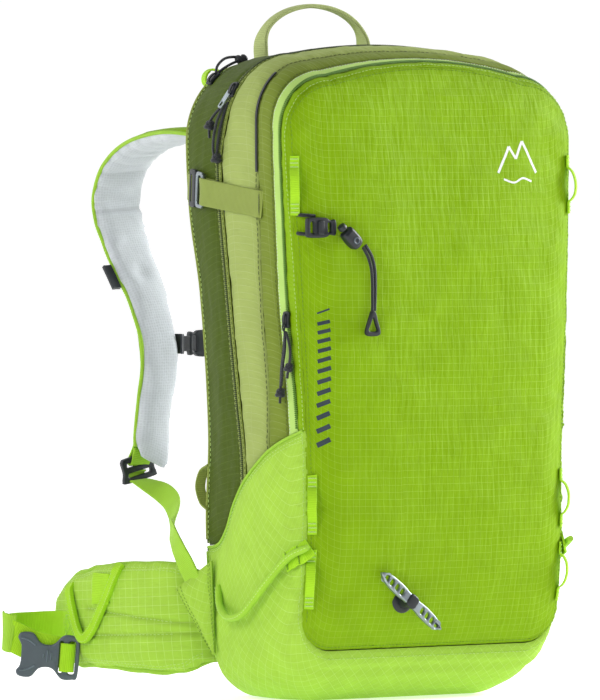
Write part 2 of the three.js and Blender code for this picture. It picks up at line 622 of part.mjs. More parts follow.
function axeToggle() {
  const face = panelFace(AXE.toggleX, AXE.toggleZ);
  const barY = panelFace(AXE.toggleX, AXE.toggleZ + 46) - 6;
  const stem = (face - 1.6) - (barY + 3.5);
  const grommet = new THREE.CylinderGeometry(7, 8.5, stem, 12);
  const stemAt = vec(AXE.toggleX, face - 1.6 - stem / 2, AXE.toggleZ);
  add('toggle_grommet', 'hardware', place(grommet, stemAt, X, vec(0, -1, 0)));
  const bar = roundedPlate(86, 14, 5, 6, [[-30, 0, 9, 5], [-14, 0, 9, 5], [14, 0, 9, 5], [30, 0, 9, 5]]);
  add('axe_toggle', 'metal', place(bar, vec(AXE.toggleX, barY, AXE.toggleZ), vec(0.77, 0, -0.63), Z));
}

// ---------- assembly ----------

shell();
backSystem();
haulLoop();
for (const side of SIDES) {
  shoulderStrap(side);
  hipBelt(side);
  compression(side);
  skiLoop(side);
  for (const [level, z] of Object.entries(LASH_HEIGHTS)) lashLoop(side, level, z);
}
zips();
axeHolder();
axeToggle();

export default pack;
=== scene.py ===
"""The ski backpack's looks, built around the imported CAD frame. Lengths are in millimetres up to the mesh."""
import math

import bpy
import bmesh
import numpy as np
from mathutils import Matrix, Vector, noise
from mathutils.bvhtree import BVHTree
from mathutils.kdtree import KDTree


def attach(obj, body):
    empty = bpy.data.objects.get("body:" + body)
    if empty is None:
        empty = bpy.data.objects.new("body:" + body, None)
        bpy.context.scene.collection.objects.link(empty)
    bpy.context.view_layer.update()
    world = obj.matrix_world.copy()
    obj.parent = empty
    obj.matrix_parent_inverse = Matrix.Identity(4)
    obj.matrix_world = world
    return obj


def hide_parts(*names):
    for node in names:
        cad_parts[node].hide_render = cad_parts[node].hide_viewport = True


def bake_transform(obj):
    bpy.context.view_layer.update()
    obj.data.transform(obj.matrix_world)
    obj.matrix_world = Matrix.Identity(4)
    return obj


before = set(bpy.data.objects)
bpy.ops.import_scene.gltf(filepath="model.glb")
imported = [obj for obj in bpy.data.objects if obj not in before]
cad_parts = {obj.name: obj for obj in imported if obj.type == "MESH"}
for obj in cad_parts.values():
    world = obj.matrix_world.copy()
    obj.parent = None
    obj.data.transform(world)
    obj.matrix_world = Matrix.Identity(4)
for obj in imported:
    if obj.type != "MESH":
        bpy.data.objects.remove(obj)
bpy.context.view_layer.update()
MM = 0.001
SIDES = (("left", -1), ("right", 1))


# ---------- camera, light and stage ----------

def make_camera():
    azimuth, elevation, distance = math.radians(-35), math.radians(1.5), 8.0
    target = Vector((0, 0.120, 0.318))
    back = Vector((math.sin(azimuth) * math.cos(elevation), -math.cos(azimuth) * math.cos(elevation),
                   math.sin(elevation)))
    data = bpy.data.cameras.new("camera")
    data.lens = 438.4
    data.clip_end = 60
    camera = bpy.data.objects.new("camera", data)
    camera.location = target + back * distance
    camera.rotation_euler = back.to_track_quat("Z", "Y").to_euler()
    bpy.context.collection.objects.link(camera)
    bpy.context.scene.camera = camera


def area_light(name, place, aim, size, power):
    data = bpy.data.lights.new(name, "AREA")
    data.shape = "RECTANGLE"
    data.size = size[0]
    data.size_y = size[1]
    data.energy = power
    light = bpy.data.objects.new(name, data)
    light.location = place
    light.rotation_euler = (Vector(place) - Vector(aim)).to_track_quat("Z", "Y").to_euler()
    bpy.context.collection.objects.link(light)


def make_stage():
    scene = bpy.context.scene
    scene.view_settings.view_transform = "Standard"
    world = bpy.data.worlds.new("studio")
    world.use_nodes = True
    nodes, links = world.node_tree.nodes, world.node_tree.links
    background = nodes["Background"]
    background.inputs["Color"].default_value = (1, 1, 1, 1)
    # The wall behind the bag is bright and the room in front of it darker, so that the light has a direction.
    place, split, spread = (nodes.new(kind) for kind in ("ShaderNodeTexCoord", "ShaderNodeSeparateXYZ",
                                                         "ShaderNodeMapRange"))
    for socket, value in (("From Min", -0.1), ("From Max", 0.55), ("To Min", 0.20), ("To Max", 1.02)):
        spread.inputs[socket].default_value = value
    links.new(split.inputs["Vector"], place.outputs["Generated"])
    links.new(spread.inputs["Value"], split.outputs["Y"])
    links.new(background.inputs["Strength"], spread.outputs["Result"])
    scene.world = world
    floor = bpy.data.meshes.new("floor")
    half = 60
    floor.from_pydata([(-half, -half, 0), (half, -half, 0), (half, half, 0), (-half, half, 0)], [], [(0, 1, 2, 3)])
    paper = bpy.data.materials.new("pale_floor")
    paper.use_nodes = True
    shader = paper.node_tree.nodes["Principled BSDF"]
    shader.inputs["Base Color"].default_value = (0.97, 0.97, 0.965, 1)
    shader.inputs["Roughness"].default_value = 0.9
    shader.inputs["Emission Color"].default_value = (1, 1, 1, 1)
    shader.inputs["Emission Strength"].default_value = 0.52
    floor.materials.append(paper)
    stage = bpy.data.objects.new("floor", floor)
    stage.location = (0, 0, -0.0008)
    bpy.context.collection.objects.link(stage)
    area_light("key", (-3.6, -1.4, 2.4), (0, 0, 0.3), (1.3, 1.3), 66)
    area_light("fill", (3.4, -0.8, 1.5), (0.1, 0, 0.3), (1.2, 1.2), 150)
    area_light("back", (-2.0, 3.2, 2.2), (0, 0.1, 0.35), (2.0, 2.0), 16)


# ---------- materials ----------

class Nodes:
    """A small wrapper that makes shader nodes and links them."""

    def __init__(self, name):
        self.material = bpy.data.materials.new(name)
        self.material.use_nodes = True
        self.tree = self.material.node_tree
        self.shader = self.tree.nodes["Principled BSDF"]

    def new(self, kind, inputs=None, **settings):
        node = self.tree.nodes.new("ShaderNode" + kind)
        for key, value in settings.items():
            setattr(node, key, value)
        for key, value in (inputs or {}).items():
            self.put(node.inputs[key], value)
        return node

    def put(self, socket, value):
        if isinstance(value, bpy.types.NodeSocket):
            self.tree.links.new(value, socket)
        else:
            socket.default_value = value

    def math(self, operation, *values):
        node = self.new("Math", operation=operation)
        for socket, value in zip(node.inputs, values):
            self.put(socket, value)
        return node.outputs[0]

    def mix(self, share, a, b):
        node = self.new("Mix", data_type="RGBA")
        for index, value in ((0, share), (6, a), (7, b)):
            self.put(node.inputs[index], value)
        return node.outputs[2]

    def cloth(self):
        """The place on the cloth in millimetres, across and along its threads."""
        return self.new("Attribute", attribute_name="cloth").outputs["Vector"]

    def place(self):
        return self.new("TexCoord").outputs["Object"]

    def near_line(self, value, pitch, width):
        """1 on lines every `pitch`, `width` wide with soft edges, 0 between them."""
        cell = self.math("PINGPONG", value, pitch / 2)
        fall = self.math("DIVIDE", cell, width / 2)
        return self.math("SUBTRACT", 1.0, self.math("MINIMUM", fall, 1.0))

    def noise(self, vector, scale, detail):
        return self.new("TexNoise", {"Vector": vector, "Scale": scale, "Detail": detail}).outputs["Fac"]

    def bump(self, height, strength, distance, normal=None):
        node = self.new("Bump", {"Height": height, "Strength": strength, "Distance": distance})
        if normal is not None:
            self.put(node.inputs["Normal"], normal)
        return node.outputs["Normal"]

    def shade_seams(self, body, share, colour):
        """The body colour, mixed with another, darker one near the piece's seams and grooves: painted shade where
        the cloth dips in.
        """
        seam = self.new("Attribute", attribute_name="seam").outputs["Fac"]
        return self.mix(self.math("MULTIPLY", seam, share), body, colour)

    def finish(self, inputs):
        """Sets the shader's inputs and returns the material."""
        for key, value in inputs.items():
            self.put(self.shader.inputs[key], value)
        return self.material


def rgb(r, g, b):
    """A linear colour from the 0-255 values of a screen colour."""
    linear = [((c / 255 + 0.055) / 1.055) ** 2.4 if c > 10 else c / 255 / 12.92 for c in (r, g, b)]
    return (*linear, 1.0)


def scaled(colour, factor):
    return (*[min(c * factor, 1.0) for c in colour[:3]], 1.0)


def ripstop(name, colour, thread, cell, turn=0.0, line=0.9, sheen=0.0, thread_share=0.55):
    """Woven nylon with a reinforcing grid of thicker, paler threads."""
    n = Nodes(name)
    cloth = n.cloth()
    if turn:
        cloth = n.new("VectorRotate", {"Vector": cloth, "Angle": math.radians(turn)},
                      rotation_type="Z_AXIS").outputs["Vector"]
    split = n.new("SeparateXYZ", {"Vector": cloth})
    grid = n.math("MAXIMUM", *[n.near_line(split.outputs[axis], pitch, line) for axis, pitch in zip("XY", cell)])
    weave = n.math("MULTIPLY", *[n.near_line(split.outputs[axis], 0.8, 0.8) for axis in "XY"])
    cloud = n.noise(cloth, 0.035, 4.0)
    fleck = n.noise(cloth, 1.3, 2.0)
    body = n.mix(cloud, scaled(colour, 0.86), scaled(colour, 1.12))
    body = n.mix(n.math("MULTIPLY", fleck, 0.22), body, scaled(colour, 0.72))
    strength = n.math("MULTIPLY", grid, n.math("ADD", n.math("MULTIPLY", cloud, 0.5), thread_share - 0.25))
    body = n.mix(strength, body, thread)
    crease = n.noise(n.new("VectorMath", {0: cloth, 1: (0.05, 0.22, 1)}, operation="MULTIPLY").outputs[0], 1.0, 5.0)
    creased = n.bump(crease, 0.5, 0.0022, n.bump(weave, 0.25, 0.0002))
    # The cloth is painted darker near its seams and grooves: painted shade.
    return n.finish({"Base Color": n.shade_seams(body, 0.42, scaled(colour, 0.5)),
                     "Roughness": n.math("SUBTRACT", 0.66, n.math("MULTIPLY", fleck, 0.14)),
                     "Sheen Weight": sheen, "Sheen Roughness": 0.45, "Specular IOR Level": 0.1,
                     "Normal": n.bump(grid, 0.5, 0.0003, creased)})


def webbing(name, colour, rib=1.6):
    """Flat woven webbing: ribs across its width and a finer herringbone along it."""
    n = Nodes(name)
    cloth = n.cloth()
    split = n.new("SeparateXYZ", {"Vector": cloth})
    ribs = n.near_line(split.outputs["Y"], rib, rib)
    rows = n.near_line(split.outputs["X"], 1.1, 1.1)
    body = n.mix(n.noise(cloth, 0.05, 3.0), scaled(colour, 0.85), scaled(colour, 1.15))
    body = n.mix(n.math("MULTIPLY", ribs, 0.35), body, scaled(colour, 0.55))
    body = n.mix(n.math("MULTIPLY", n.noise(cloth, 1.6, 1.0), 0.25), body, scaled(colour, 0.7))
    height = n.math("ADD", ribs, n.math("MULTIPLY", rows, 0.4))
    return n.finish({"Base Color": body, "Roughness": n.math("ADD", 0.58, n.math("MULTIPLY", ribs, 0.2)),
                     "Sheen Weight": 0.06, "Specular IOR Level": 0.22, "Normal": n.bump(height, 0.6, 0.0004)})


def air_mesh(name, colour):
    """Spacer mesh: rows of small open cells over a paler backing, the cells pressed in and painted darker as
    painted shade inside them.
    """
    n = Nodes(name)
    cloth = n.cloth()
    cells = n.new("TexVoronoi", {"Vector": cloth, "Scale": 1 / MESH_CELL, "Randomness": 0.25})
    # Painted shade inside the open cells.
    dots = n.math("SUBTRACT", 1.0, n.math("MINIMUM", n.math("MULTIPLY", cells.outputs["Distance"], 1.7), 1.0))
    cloud = n.noise(cloth, 0.03, 4.0)
    body = n.mix(cloud, scaled(colour, 0.84), scaled(colour, 1.12))
    body = n.mix(n.math("MULTIPLY", dots, 0.4), body, scaled(colour, 0.55))
    # The mesh is painted darker near its seams and grooves: painted shade.
    return n.finish({"Base Color": n.shade_seams(body, 0.5, scaled(colour, 0.55)),
                     "Roughness": n.math("ADD", 0.8, n.math("MULTIPLY", cloud, 0.15)),
                     "Sheen Weight": 0.15, "Normal": n.bump(dots, 0.4, -0.0005)})


def moulded(name, colour, roughness=0.42, grain=900.0, metallic=0.0):
    """Moulded plastic or cast metal: fine grain, faint scuffs and paler worn edges."""
    n = Nodes(name)
    place = n.place()
    scuff = n.noise(place, 60.0, 5.0)
    edge = n.new("NewGeometry").outputs["Pointiness"]
    worn = n.math("MULTIPLY", n.math("GREATER_THAN", edge, 0.56), n.math("MULTIPLY", scuff, 0.5))
    body = n.mix(scuff, scaled(colour, 0.8), scaled(colour, 1.35))
    return n.finish({"Base Color": n.mix(worn, body, scaled(colour, 3.0)),
                     "Roughness": n.math("ADD", roughness - 0.08, n.math("MULTIPLY", scuff, 0.2)),
                     "Metallic": metallic, "Normal": n.bump(n.noise(place, grain, 3.0), 0.12, 0.0002)})


def thread_material(name, colour):
    n = Nodes(name)
    twist = n.noise(n.place(), 2500.0, 1.0)
    return n.finish({"Base Color": n.mix(twist, scaled(colour, 0.75), scaled(colour, 1.2)), "Roughness": 0.6,
                     "Normal": n.bump(twist, 0.3, 0.0002)})


def cord_material(name, colour):
    """Braided cord: crossing diagonal strands."""
    n = Nodes(name)
    place = n.place()
    waves = [n.new("TexWave", {"Vector": place, "Scale": scale, "Distortion": 2.0}, bands_direction=direction)
             for scale, direction in ((420.0, "DIAGONAL"), (380.0, "Z"))]
    braid = n.math("MULTIPLY", *[wave.outputs["Fac"] for wave in waves])
    return n.finish({"Base Color": n.mix(braid, scaled(colour, 0.6), scaled(colour, 2.2)), "Roughness": 0.6,
                     "Sheen Weight": 0.2, "Normal": n.bump(braid, 0.6, 0.0004)})


MESH_CELL = 2.6
LIME = rgb(135, 177, 10)
LIME_THREAD = rgb(172, 206, 76)
COVER = rgb(164, 206, 70)
COVER_THREAD = rgb(204, 236, 134)
# The next colour is the olive cloth painted lighter: painted light on the wide side panel.
LIT_OLIVE = rgb(158, 174, 96)
OLIVE = rgb(120, 138, 50)
# A darker olive cloth, with painted shade of the rear panel mixed into it.
DARK_SHADED_OLIVE = rgb(70, 88, 14)

MAT = {
    "lime": ripstop("lime_ripstop_cloth", LIME, LIME_THREAD, cell=(6.5, 6.5), line=0.5, thread_share=0.68),
    "cover": ripstop("lime_cover_cloth", COVER, COVER_THREAD, cell=(8, 8), turn=45, line=0.55, thread_share=0.72),
    "belt": ripstop("lime_belt_cloth", COVER, COVER_THREAD, cell=(8.5, 8.5), turn=4, line=0.6, thread_share=0.85),
    "tape": webbing("zip_tape_cloth", rgb(190, 228, 118), rib=1.0),
    # A lit copy of the olive cloth: painted light.
    "olive_light": ripstop("lit_olive_cloth", LIT_OLIVE, rgb(194, 206, 146), cell=(30, 6.5), turn=4, line=0.7,
                           thread_share=0.4),
    "olive": ripstop("olive_cloth", OLIVE, rgb(172, 186, 116), cell=(30, 6.5), turn=4, line=0.7, thread_share=0.4),
    # A darker olive with painted shade in it.
    "olive_dark": ripstop("dark_shaded_olive_cloth", DARK_SHADED_OLIVE, rgb(112, 132, 58), cell=(30, 6.5), turn=-8, line=0.7,
                          thread_share=0.4),
    "lime_webbing": webbing("lime_webbing_weave", rgb(172, 226, 34)),
    "cover_webbing": webbing("pale_webbing_weave", rgb(166, 216, 58)),
    "olive_webbing": webbing("olive_webbing_weave", rgb(142, 158, 72), rib=2.0),
    "haul_webbing": webbing("haul_webbing_weave", rgb(182, 196, 124), rib=2.0),
    "mesh": air_mesh("grey_air_mesh", rgb(206, 211, 216)),
    "binding": webbing("lime_binding_weave", rgb(164, 212, 62), rib=0.9),
    "lining": ripstop("grey_lining_cloth", rgb(150, 154, 156), rgb(172, 176, 178), cell=(9, 9), sheen=0.1),
    "black": moulded("black_acetal", rgb(25, 30, 35)),
    "slate": moulded("slate_acetal", rgb(74, 84, 92), roughness=0.38),
    "metal": moulded("cast_toggle_metal", rgb(138, 147, 152), roughness=0.32, metallic=0.85),
    "aluminium": moulded("aluminium_rod", rgb(196, 200, 204), roughness=0.3, metallic=1.0, grain=300),
    "cord": cord_material("black_braid", rgb(20, 25, 32)),
    "coil": thread_material("dark_zip_coil", rgb(58, 74, 34)),
    "lime_coil": thread_material("lime_zip_coil", rgb(92, 136, 40)),
    "thread_dark": thread_material("dark_thread", rgb(62, 74, 30)),
    "thread_lime": thread_material("lime_thread", rgb(104, 146, 26)),
    "thread_pale": thread_material("pale_thread", rgb(192, 226, 134)),
    "thread_white": thread_material("white_thread", rgb(236, 242, 232)),
    "print_dark": thread_material("dark_print", rgb(44, 58, 66)),
    "print_white": thread_material("white_print", rgb(244, 246, 240)),
}


# ---------- mesh helpers ----------

def unit(v):
    return v / np.maximum(np.linalg.norm(v, axis=-1, keepdims=True), 1e-9)


def mix(a, b, t):
    return a + (b - a) * t


def smooth(t):
    t = np.clip(t, 0, 1)
    return t * t * (3 - 2 * t)


def profile(points):
    """A smooth function through a few (input, value) points, flat beyond its ends."""
    ts, vs = np.array(points, float).T
    last = len(ts) - 1
    slope = np.array([(vs[min(k + 1, last)] - vs[max(k - 1, 0)]) / (ts[min(k + 1, last)] - ts[max(k - 1, 0)])
                      for k in range(last + 1)])

    def at(t):
        t = np.asarray(t, float)
        i = np.clip(np.searchsorted(ts, t, side="right") - 1, 0, last - 1)
        span = ts[i + 1] - ts[i]
        u = np.clip((t - ts[i]) / span, 0, 1)
        value = mix(vs[i], vs[i + 1], u * u * (3 - 2 * u))
        value = value + span * u * (1 - u) * (slope[i] * (1 - u) - slope[i + 1] * u)
        return np.clip(value, np.minimum(vs[i], vs[i + 1]), np.maximum(vs[i], vs[i + 1]))
    return at


def field(a, b, seed, octaves=3):
    """Smooth seeded noise over two arrays of the same shape, about -1 to 1."""
    flat = np.fromiter((noise.fractal(Vector((x, y, seed * 7.31)), 1.0, 2.0, octaves)
                        for x, y in zip(np.ravel(a), np.ravel(b))), float)
    return flat.reshape(np.shape(a))


def make_object(name, points, faces, materials, attributes=None):
    """A mesh object from points in millimetres. attributes are per point: a name to numbers or vectors."""
    mesh = bpy.data.meshes.new(name)
    points = np.asarray(points, float)
    mesh.from_pydata((points * MM).tolist(), [], [tuple(int(i) for i in f) for f in faces])
    for key, values in (attributes or {}).items():
        values = np.asarray(values, np.float32)
        kind = "FLOAT" if values.ndim == 1 else "FLOAT_VECTOR"
        layer = mesh.attributes.new(key, kind, "POINT")
        if values.ndim == 2 and values.shape[1] == 2:
            values = np.column_stack([values, np.zeros(len(values), np.float32)])
        layer.data.foreach_set("value" if kind == "FLOAT" else "vector", values.ravel())
    for material in materials:
        mesh.materials.append(MAT[material])
    solid = bmesh.new()
    solid.from_mesh(mesh)
    bmesh.ops.recalc_face_normals(solid, faces=solid.faces)
    solid.to_mesh(mesh)
    solid.free()
    mesh.shade_smooth()
    mesh.set_sharp_from_angle(angle=math.radians(40))
    obj = bpy.data.objects.new(name, mesh)
    bpy.context.collection.objects.link(obj)
    return obj


def settle(obj, body, slot, *nodes):
    """The piece rides on a body and stands for some CAD nodes, which it hides. The slot is not used."""
    if nodes:
        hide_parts(*nodes)
    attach(obj, body)
    return obj


def join(name, pieces, materials):
    """One object from several (points, faces, attributes) lumps that share a list of materials."""
    points, faces, attributes, start = [], [], {}, 0
    for lump_points, lump_faces, lump_attributes in pieces:
        points.append(lump_points)
        faces += [tuple(i + start for i in f) for f in lump_faces]
        for key, values in lump_attributes.items():
            attributes.setdefault(key, []).append(values)
        start += len(lump_points)
    merged = {key: np.concatenate(values) for key, values in attributes.items()}
    return make_object(name, np.concatenate(points), faces, materials, merged)


def sewn(name, parts, body, slot, *nodes):
    """One settled piece from groups of lumps, each with its material."""
    groups = [join(f"{name}_{k}", lumps, [material]) for k, (material, lumps) in enumerate(parts)]
    return settle(merge(name, groups), body, slot, *nodes)


def flip(sign, points):
    """The points of the wearer's right side, moved to the side that the sign says."""
    return [(sign * x, y, z) for x, y, z in points]


def grid_faces(rows, columns, start=0, ring=False):
    faces = []
    wide = columns if ring else columns - 1
    for r in range(rows - 1):
        for c in range(wide):
            a, b = r * columns + c, r * columns + (c + 1) % columns
            faces.append((start + a, start + b, start + b + columns, start + a + columns))
    return faces


def run_along(path):
    """The distance along a path at each of its points."""
    return np.concatenate([[0], np.cumsum(np.linalg.norm(np.diff(path, axis=0), axis=1))])


def sample(at, run, values):
    """The vectors at some distances along a path, between those at its points."""
    return np.stack([np.interp(at, run, values[:, k]) for k in range(3)], axis=-1)


def resample(path, pitch, closed=False):
    """A smooth curve through the points, with an even spacing."""
    path = np.asarray(path, float)
    if len(path) > 2:
        ends = (path[-1:], path[:1]) if closed else (2 * path[:1] - path[1:2], 2 * path[-1:] - path[-2:-1])
        padded = np.vstack([ends[0], path, ends[1]])
        fine = []
        for i in range(len(path) - 1):
            p0, p1, p2, p3 = padded[i:i + 4]
            t = np.linspace(0, 1, 25)[:-1, None]
            fine.append(0.5 * (2 * p1 + (p2 - p0) * t + (2 * p0 - 5 * p1 + 4 * p2 - p3) * t ** 2
                               + (3 * p1 - p0 - 3 * p2 + p3) * t ** 3))
        path = np.vstack(fine + [path[-1:]])
    run = run_along(path)
    count = max(int(round(run[-1] / pitch)), 2) + 1
    return sample(np.linspace(0, run[-1], count), run, path)


def plan(points, pitch):
    """A smooth closed outline through 2-D points."""
    return resample([(x, y, 0) for x, y in points], pitch, closed=True)[:, :2]


def both_halves(half):
    """An outline from its upper half, mirrored about the x axis."""
    return [*half, *[(x, -y) for x, y in half[::-1]]]


def frames(path, side):
    """Tangent, side and normal at every point; side is one direction or one for each point."""
    tangent = unit(np.gradient(path, axis=0))
    side = np.broadcast_to(np.asarray(side, float), path.shape)
    side = unit(side - tangent * np.sum(side * tangent, axis=1, keepdims=True))
    return tangent, side, np.cross(tangent, side)


def tube_lump(path, radius, sides):
    """A round cord. Its frame is carried along the path, so that it doesn't twist."""
    path = np.asarray(path, float)
    tangent = unit(np.gradient(path, axis=0))
    normal = np.cross(tangent[0], [0.31, 0.87, 0.38])
    normals = []
    for t in tangent:
        normal = normal - t * np.dot(normal, t)
        normal = normal / np.linalg.norm(normal)
        normals.append(normal)
    normals = np.array(normals)
    other = np.cross(tangent, normals)
    turn = np.arange(sides) / sides * 2 * math.pi
    radius = np.broadcast_to(np.asarray(radius, float), (len(path),))
    ring = (normals[:, None] * np.cos(turn)[None, :, None] + other[:, None] * np.sin(turn)[None, :, None])
    points = (path[:, None] + ring * radius[:, None, None]).reshape(-1, 3)
    faces = grid_faces(len(path), sides, ring=True)
    faces += [tuple(range(sides))[::-1], tuple(range((len(path) - 1) * sides, len(path) * sides))]
    run = run_along(path)
    cloth = np.column_stack([np.tile(turn * radius.mean(), len(path)), np.repeat(run, sides)])
    return points, faces, {"cloth": cloth}


def webbing_lump(path, width, thick, side, sag=0.0):
    """A flat strap with rounded selvages along a path; side is the direction its width lies in."""
    path = np.asarray(path, float)
    _, across, normal = frames(path, side)
    width = np.broadcast_to(np.asarray(width, float), (len(path),))
    shares = np.array([-1, -0.985, -0.94, -0.8, -0.5, -0.2, 0.2, 0.5, 0.8, 0.94, 0.985, 1])
    heights = np.array([0.35, 0.75, 1, 1, 0.92, 0.88, 0.88, 0.92, 1, 1, 0.75, 0.35]) * thick / 2
    w = np.concatenate([shares, shares[::-1]])
    h = np.concatenate([heights, -heights[::-1]])
    dip = sag * (1 - w ** 2)
    points = (path[:, None] + across[:, None] * (w[None] * width[:, None] / 2)[..., None]
              + normal[:, None] * (h + dip)[None, :, None])
    count = len(w)
    faces = grid_faces(len(path), count, ring=True)
    last = (len(path) - 1) * count
    for i in range(len(shares) - 1):
        j = count - 1 - i
        faces.append((i, i + 1, j - 1, j))
        faces.append((last + i, last + j, last + j - 1, last + i + 1))
    cloth = np.column_stack([(w[None] * width[:, None] / 2).ravel(), np.repeat(run_along(path), count)])
    # How near each point is to a selvage; a ripstop strap is painted darker there, as painted shade where its edge
    # rounds under.
    seam = np.tile(np.clip((np.abs(w) - 0.84) / 0.16, 0, 1), len(path))
    return points.reshape(-1, 3), faces, {"cloth": cloth, "seam": seam}


def stitch_lump(ends, normals, thick):
    """Stitches: each a short bead from one end to the other, standing a little out of the cloth."""
    starts, stops = ends
    middle = (starts + stops) / 2
    run = stops - starts
    length = np.linalg.norm(run, axis=1, keepdims=True)
    along = run / np.maximum(length, 1e-9)
    out = unit(normals - along * np.sum(normals * along, axis=1, keepdims=True))
    across = np.cross(along, out)
    rings = [(-0.5, 0.35, -0.3), (-0.34, 1.0, 0.25), (0.34, 1.0, 0.25), (0.5, 0.35, -0.3)]
    sides = 5
    turn = np.arange(sides) / sides * 2 * math.pi
    points = []
    for place, size, lift in rings:
        centre = middle + along * length * place + out * lift * thick
        ring = (across[:, None] * np.cos(turn)[None, :, None] + out[:, None] * np.sin(turn)[None, :, None])
        points.append(centre[:, None] + ring * thick / 2 * size)
    points = np.stack(points, axis=1)
    count = points.shape[1] * sides
    faces = []
    for k in range(len(points)):
        faces += grid_faces(len(rings), sides, start=k * count, ring=True)
        faces.append(tuple(range(k * count, k * count + sides))[::-1])
        faces.append(tuple(range(k * count + count - sides, k * count + count)))
    points = points.reshape(-1, 3)
    return points, faces, {"cloth": points[:, :2]}


def seam_stitches(path, normals, length=2.6, gap=1.5, thick=0.5):
    """A row of stitches along a path that has a normal at every point."""
    path, normals = np.asarray(path, float), np.broadcast_to(np.asarray(normals, float), np.shape(path))
    run = run_along(path)
    begin = np.arange(gap, run[-1] - length, length + gap)
    ends = (sample(begin, run, path), sample(begin + length, run, path))
    return stitch_lump(ends, unit(sample(begin + length / 2, run, normals)), thick)


def bartack_lump(centre, along, across, normal, length, width, pitch=0.75):
    """A dense zigzag of thread that holds a strap down: `length` is its long side."""
    centre, along, across = (np.asarray(v, float) for v in (centre, along, across))
    count = max(int(length / pitch), 2)
    steps = np.linspace(-0.5, 0.5, count + 1)[:, None]
    wave = np.where(np.arange(count + 1) % 2 == 0, -0.5, 0.5)[:, None]
    points = centre + along * length * steps + across * width * wave
    return stitch_lump((points[:-1], points[1:]), np.broadcast_to(normal, (count, 3)), 0.62)


def rounded(x, y, width, height, radius):
    """A rounded rectangle as a list of 2-D points."""
    points, steps = [], 6
    for k, (sx, sy) in enumerate(((1, 1), (-1, 1), (-1, -1), (1, -1))):
        for i in range(steps + 1):
            turn = (k + i / steps) * math.pi / 2
            points.append((x + sx * (width / 2 - radius) + radius * math.cos(turn),
                           y + sy * (height / 2 - radius) + radius * math.sin(turn)))
    return points


def basis(point, across, up):
    """The matrix that takes X along `across`, Y along `up`, and the origin to a point in millimetres."""
    x = Vector(across).normalized()
    y = Vector(up)
    y = (y - x * y.dot(x)).normalized()
    z = x.cross(y)
    turn = Matrix((x, y, z)).transposed().to_4x4()
    return Matrix.Translation(Vector(point) * MM) @ turn


def moulded_piece(name, outlines, thick, material, where, edge, dish=None):
    """A moulded plate from an outline and its holes, with rounded edges. dish bends it: (x, y) to a height."""
    curve = bpy.data.curves.new(name, "CURVE")
    curve.dimensions = "2D"
    curve.fill_mode = "BOTH"
    curve.extrude = (thick / 2 - edge) * MM
    curve.bevel_depth = edge * MM
    curve.bevel_resolution = 3
    curve.offset = -edge * MM
    for outline in outlines:
        spline = curve.splines.new("POLY")
        spline.points.add(len(outline) - 1)
        for point, (x, y) in zip(spline.points, outline):
            point.co = (x * MM, y * MM, 0, 1)
        spline.use_cyclic_u = True
    holder = bpy.data.objects.new(name + "_curve", curve)
    bpy.context.collection.objects.link(holder)
    depsgraph = bpy.context.evaluated_depsgraph_get()
    mesh = bpy.data.meshes.new_from_object(holder.evaluated_get(depsgraph))
    bpy.data.objects.remove(holder)
    bpy.data.curves.remove(curve)
    solid = bmesh.new()
    solid.from_mesh(mesh)
    bmesh.ops.remove_doubles(solid, verts=solid.verts, dist=0.00002)
    if dish:
        bmesh.ops.triangulate(solid, faces=[f for f in solid.faces if len(f.verts) > 4])
        for vert in solid.verts:
            vert.co.z += dish(vert.co.x / MM, vert.co.y / MM) * MM
    bmesh.ops.recalc_face_normals(solid, faces=solid.faces)
    solid.to_mesh(mesh)
    solid.free()
    mesh.transform(where)
    mesh.materials.clear()
    mesh.materials.append(MAT[material])
    mesh.shade_smooth()
    mesh.set_sharp_from_angle(angle=math.radians(35))
    obj = bpy.data.objects.new(name, mesh)
    bpy.context.collection.objects.link(obj)
    return obj


def merge(name, objects):
    """Several objects made into one, each face keeping its material and every attribute."""
    kept = objects[0]
    if len(objects) > 1:
        with bpy.context.temp_override(active_object=kept, object=kept, selected_objects=objects,
                                       selected_editable_objects=objects):
            bpy.ops.object.join()
    kept.name = name
    kept.data.name = name
    return kept


# ---------- the bag's surface ----------

class Seam:
    """A seam that runs round the bag: how deep it lies at every height, and its share of the depth."""

    def __init__(self, depth, points):
        self.depth = depth
        self.y = profile(points)


FRONT_EDGE = Seam(0, [(0, -78), (60, -87.5), (140, -97), (225, -98), (376, -95), (503, -88), (600, -84)])
FRONT_ZIP = Seam(0.08, [(0, -66), (140, -85.5), (256, -87.5), (371, -79), (503, -77), (600, -73)])
TAPE_EDGE = Seam(0.15, [(0, -56), (140, -72), (256, -75), (375, -65), (503, -63), (600, -60)])
MIDDLE = Seam(0.3, [(0, -34), (279, -48), (370, -40), (440, -38), (600, -37)])
MAIN_ZIP = Seam(0.55, [(0, 0), (214, -5), (278, 3), (370, 15), (494, 27), (545, 14), (600, 2)])
BACK_EDGE = Seam(1, [(0, 64), (60, 72), (160, 78), (245, 72), (373, 82), (455, 98), (600, 103)])
SEAMS = (FRONT_EDGE, FRONT_ZIP, TAPE_EDGE, MIDDLE, MAIN_ZIP, BACK_EDGE)

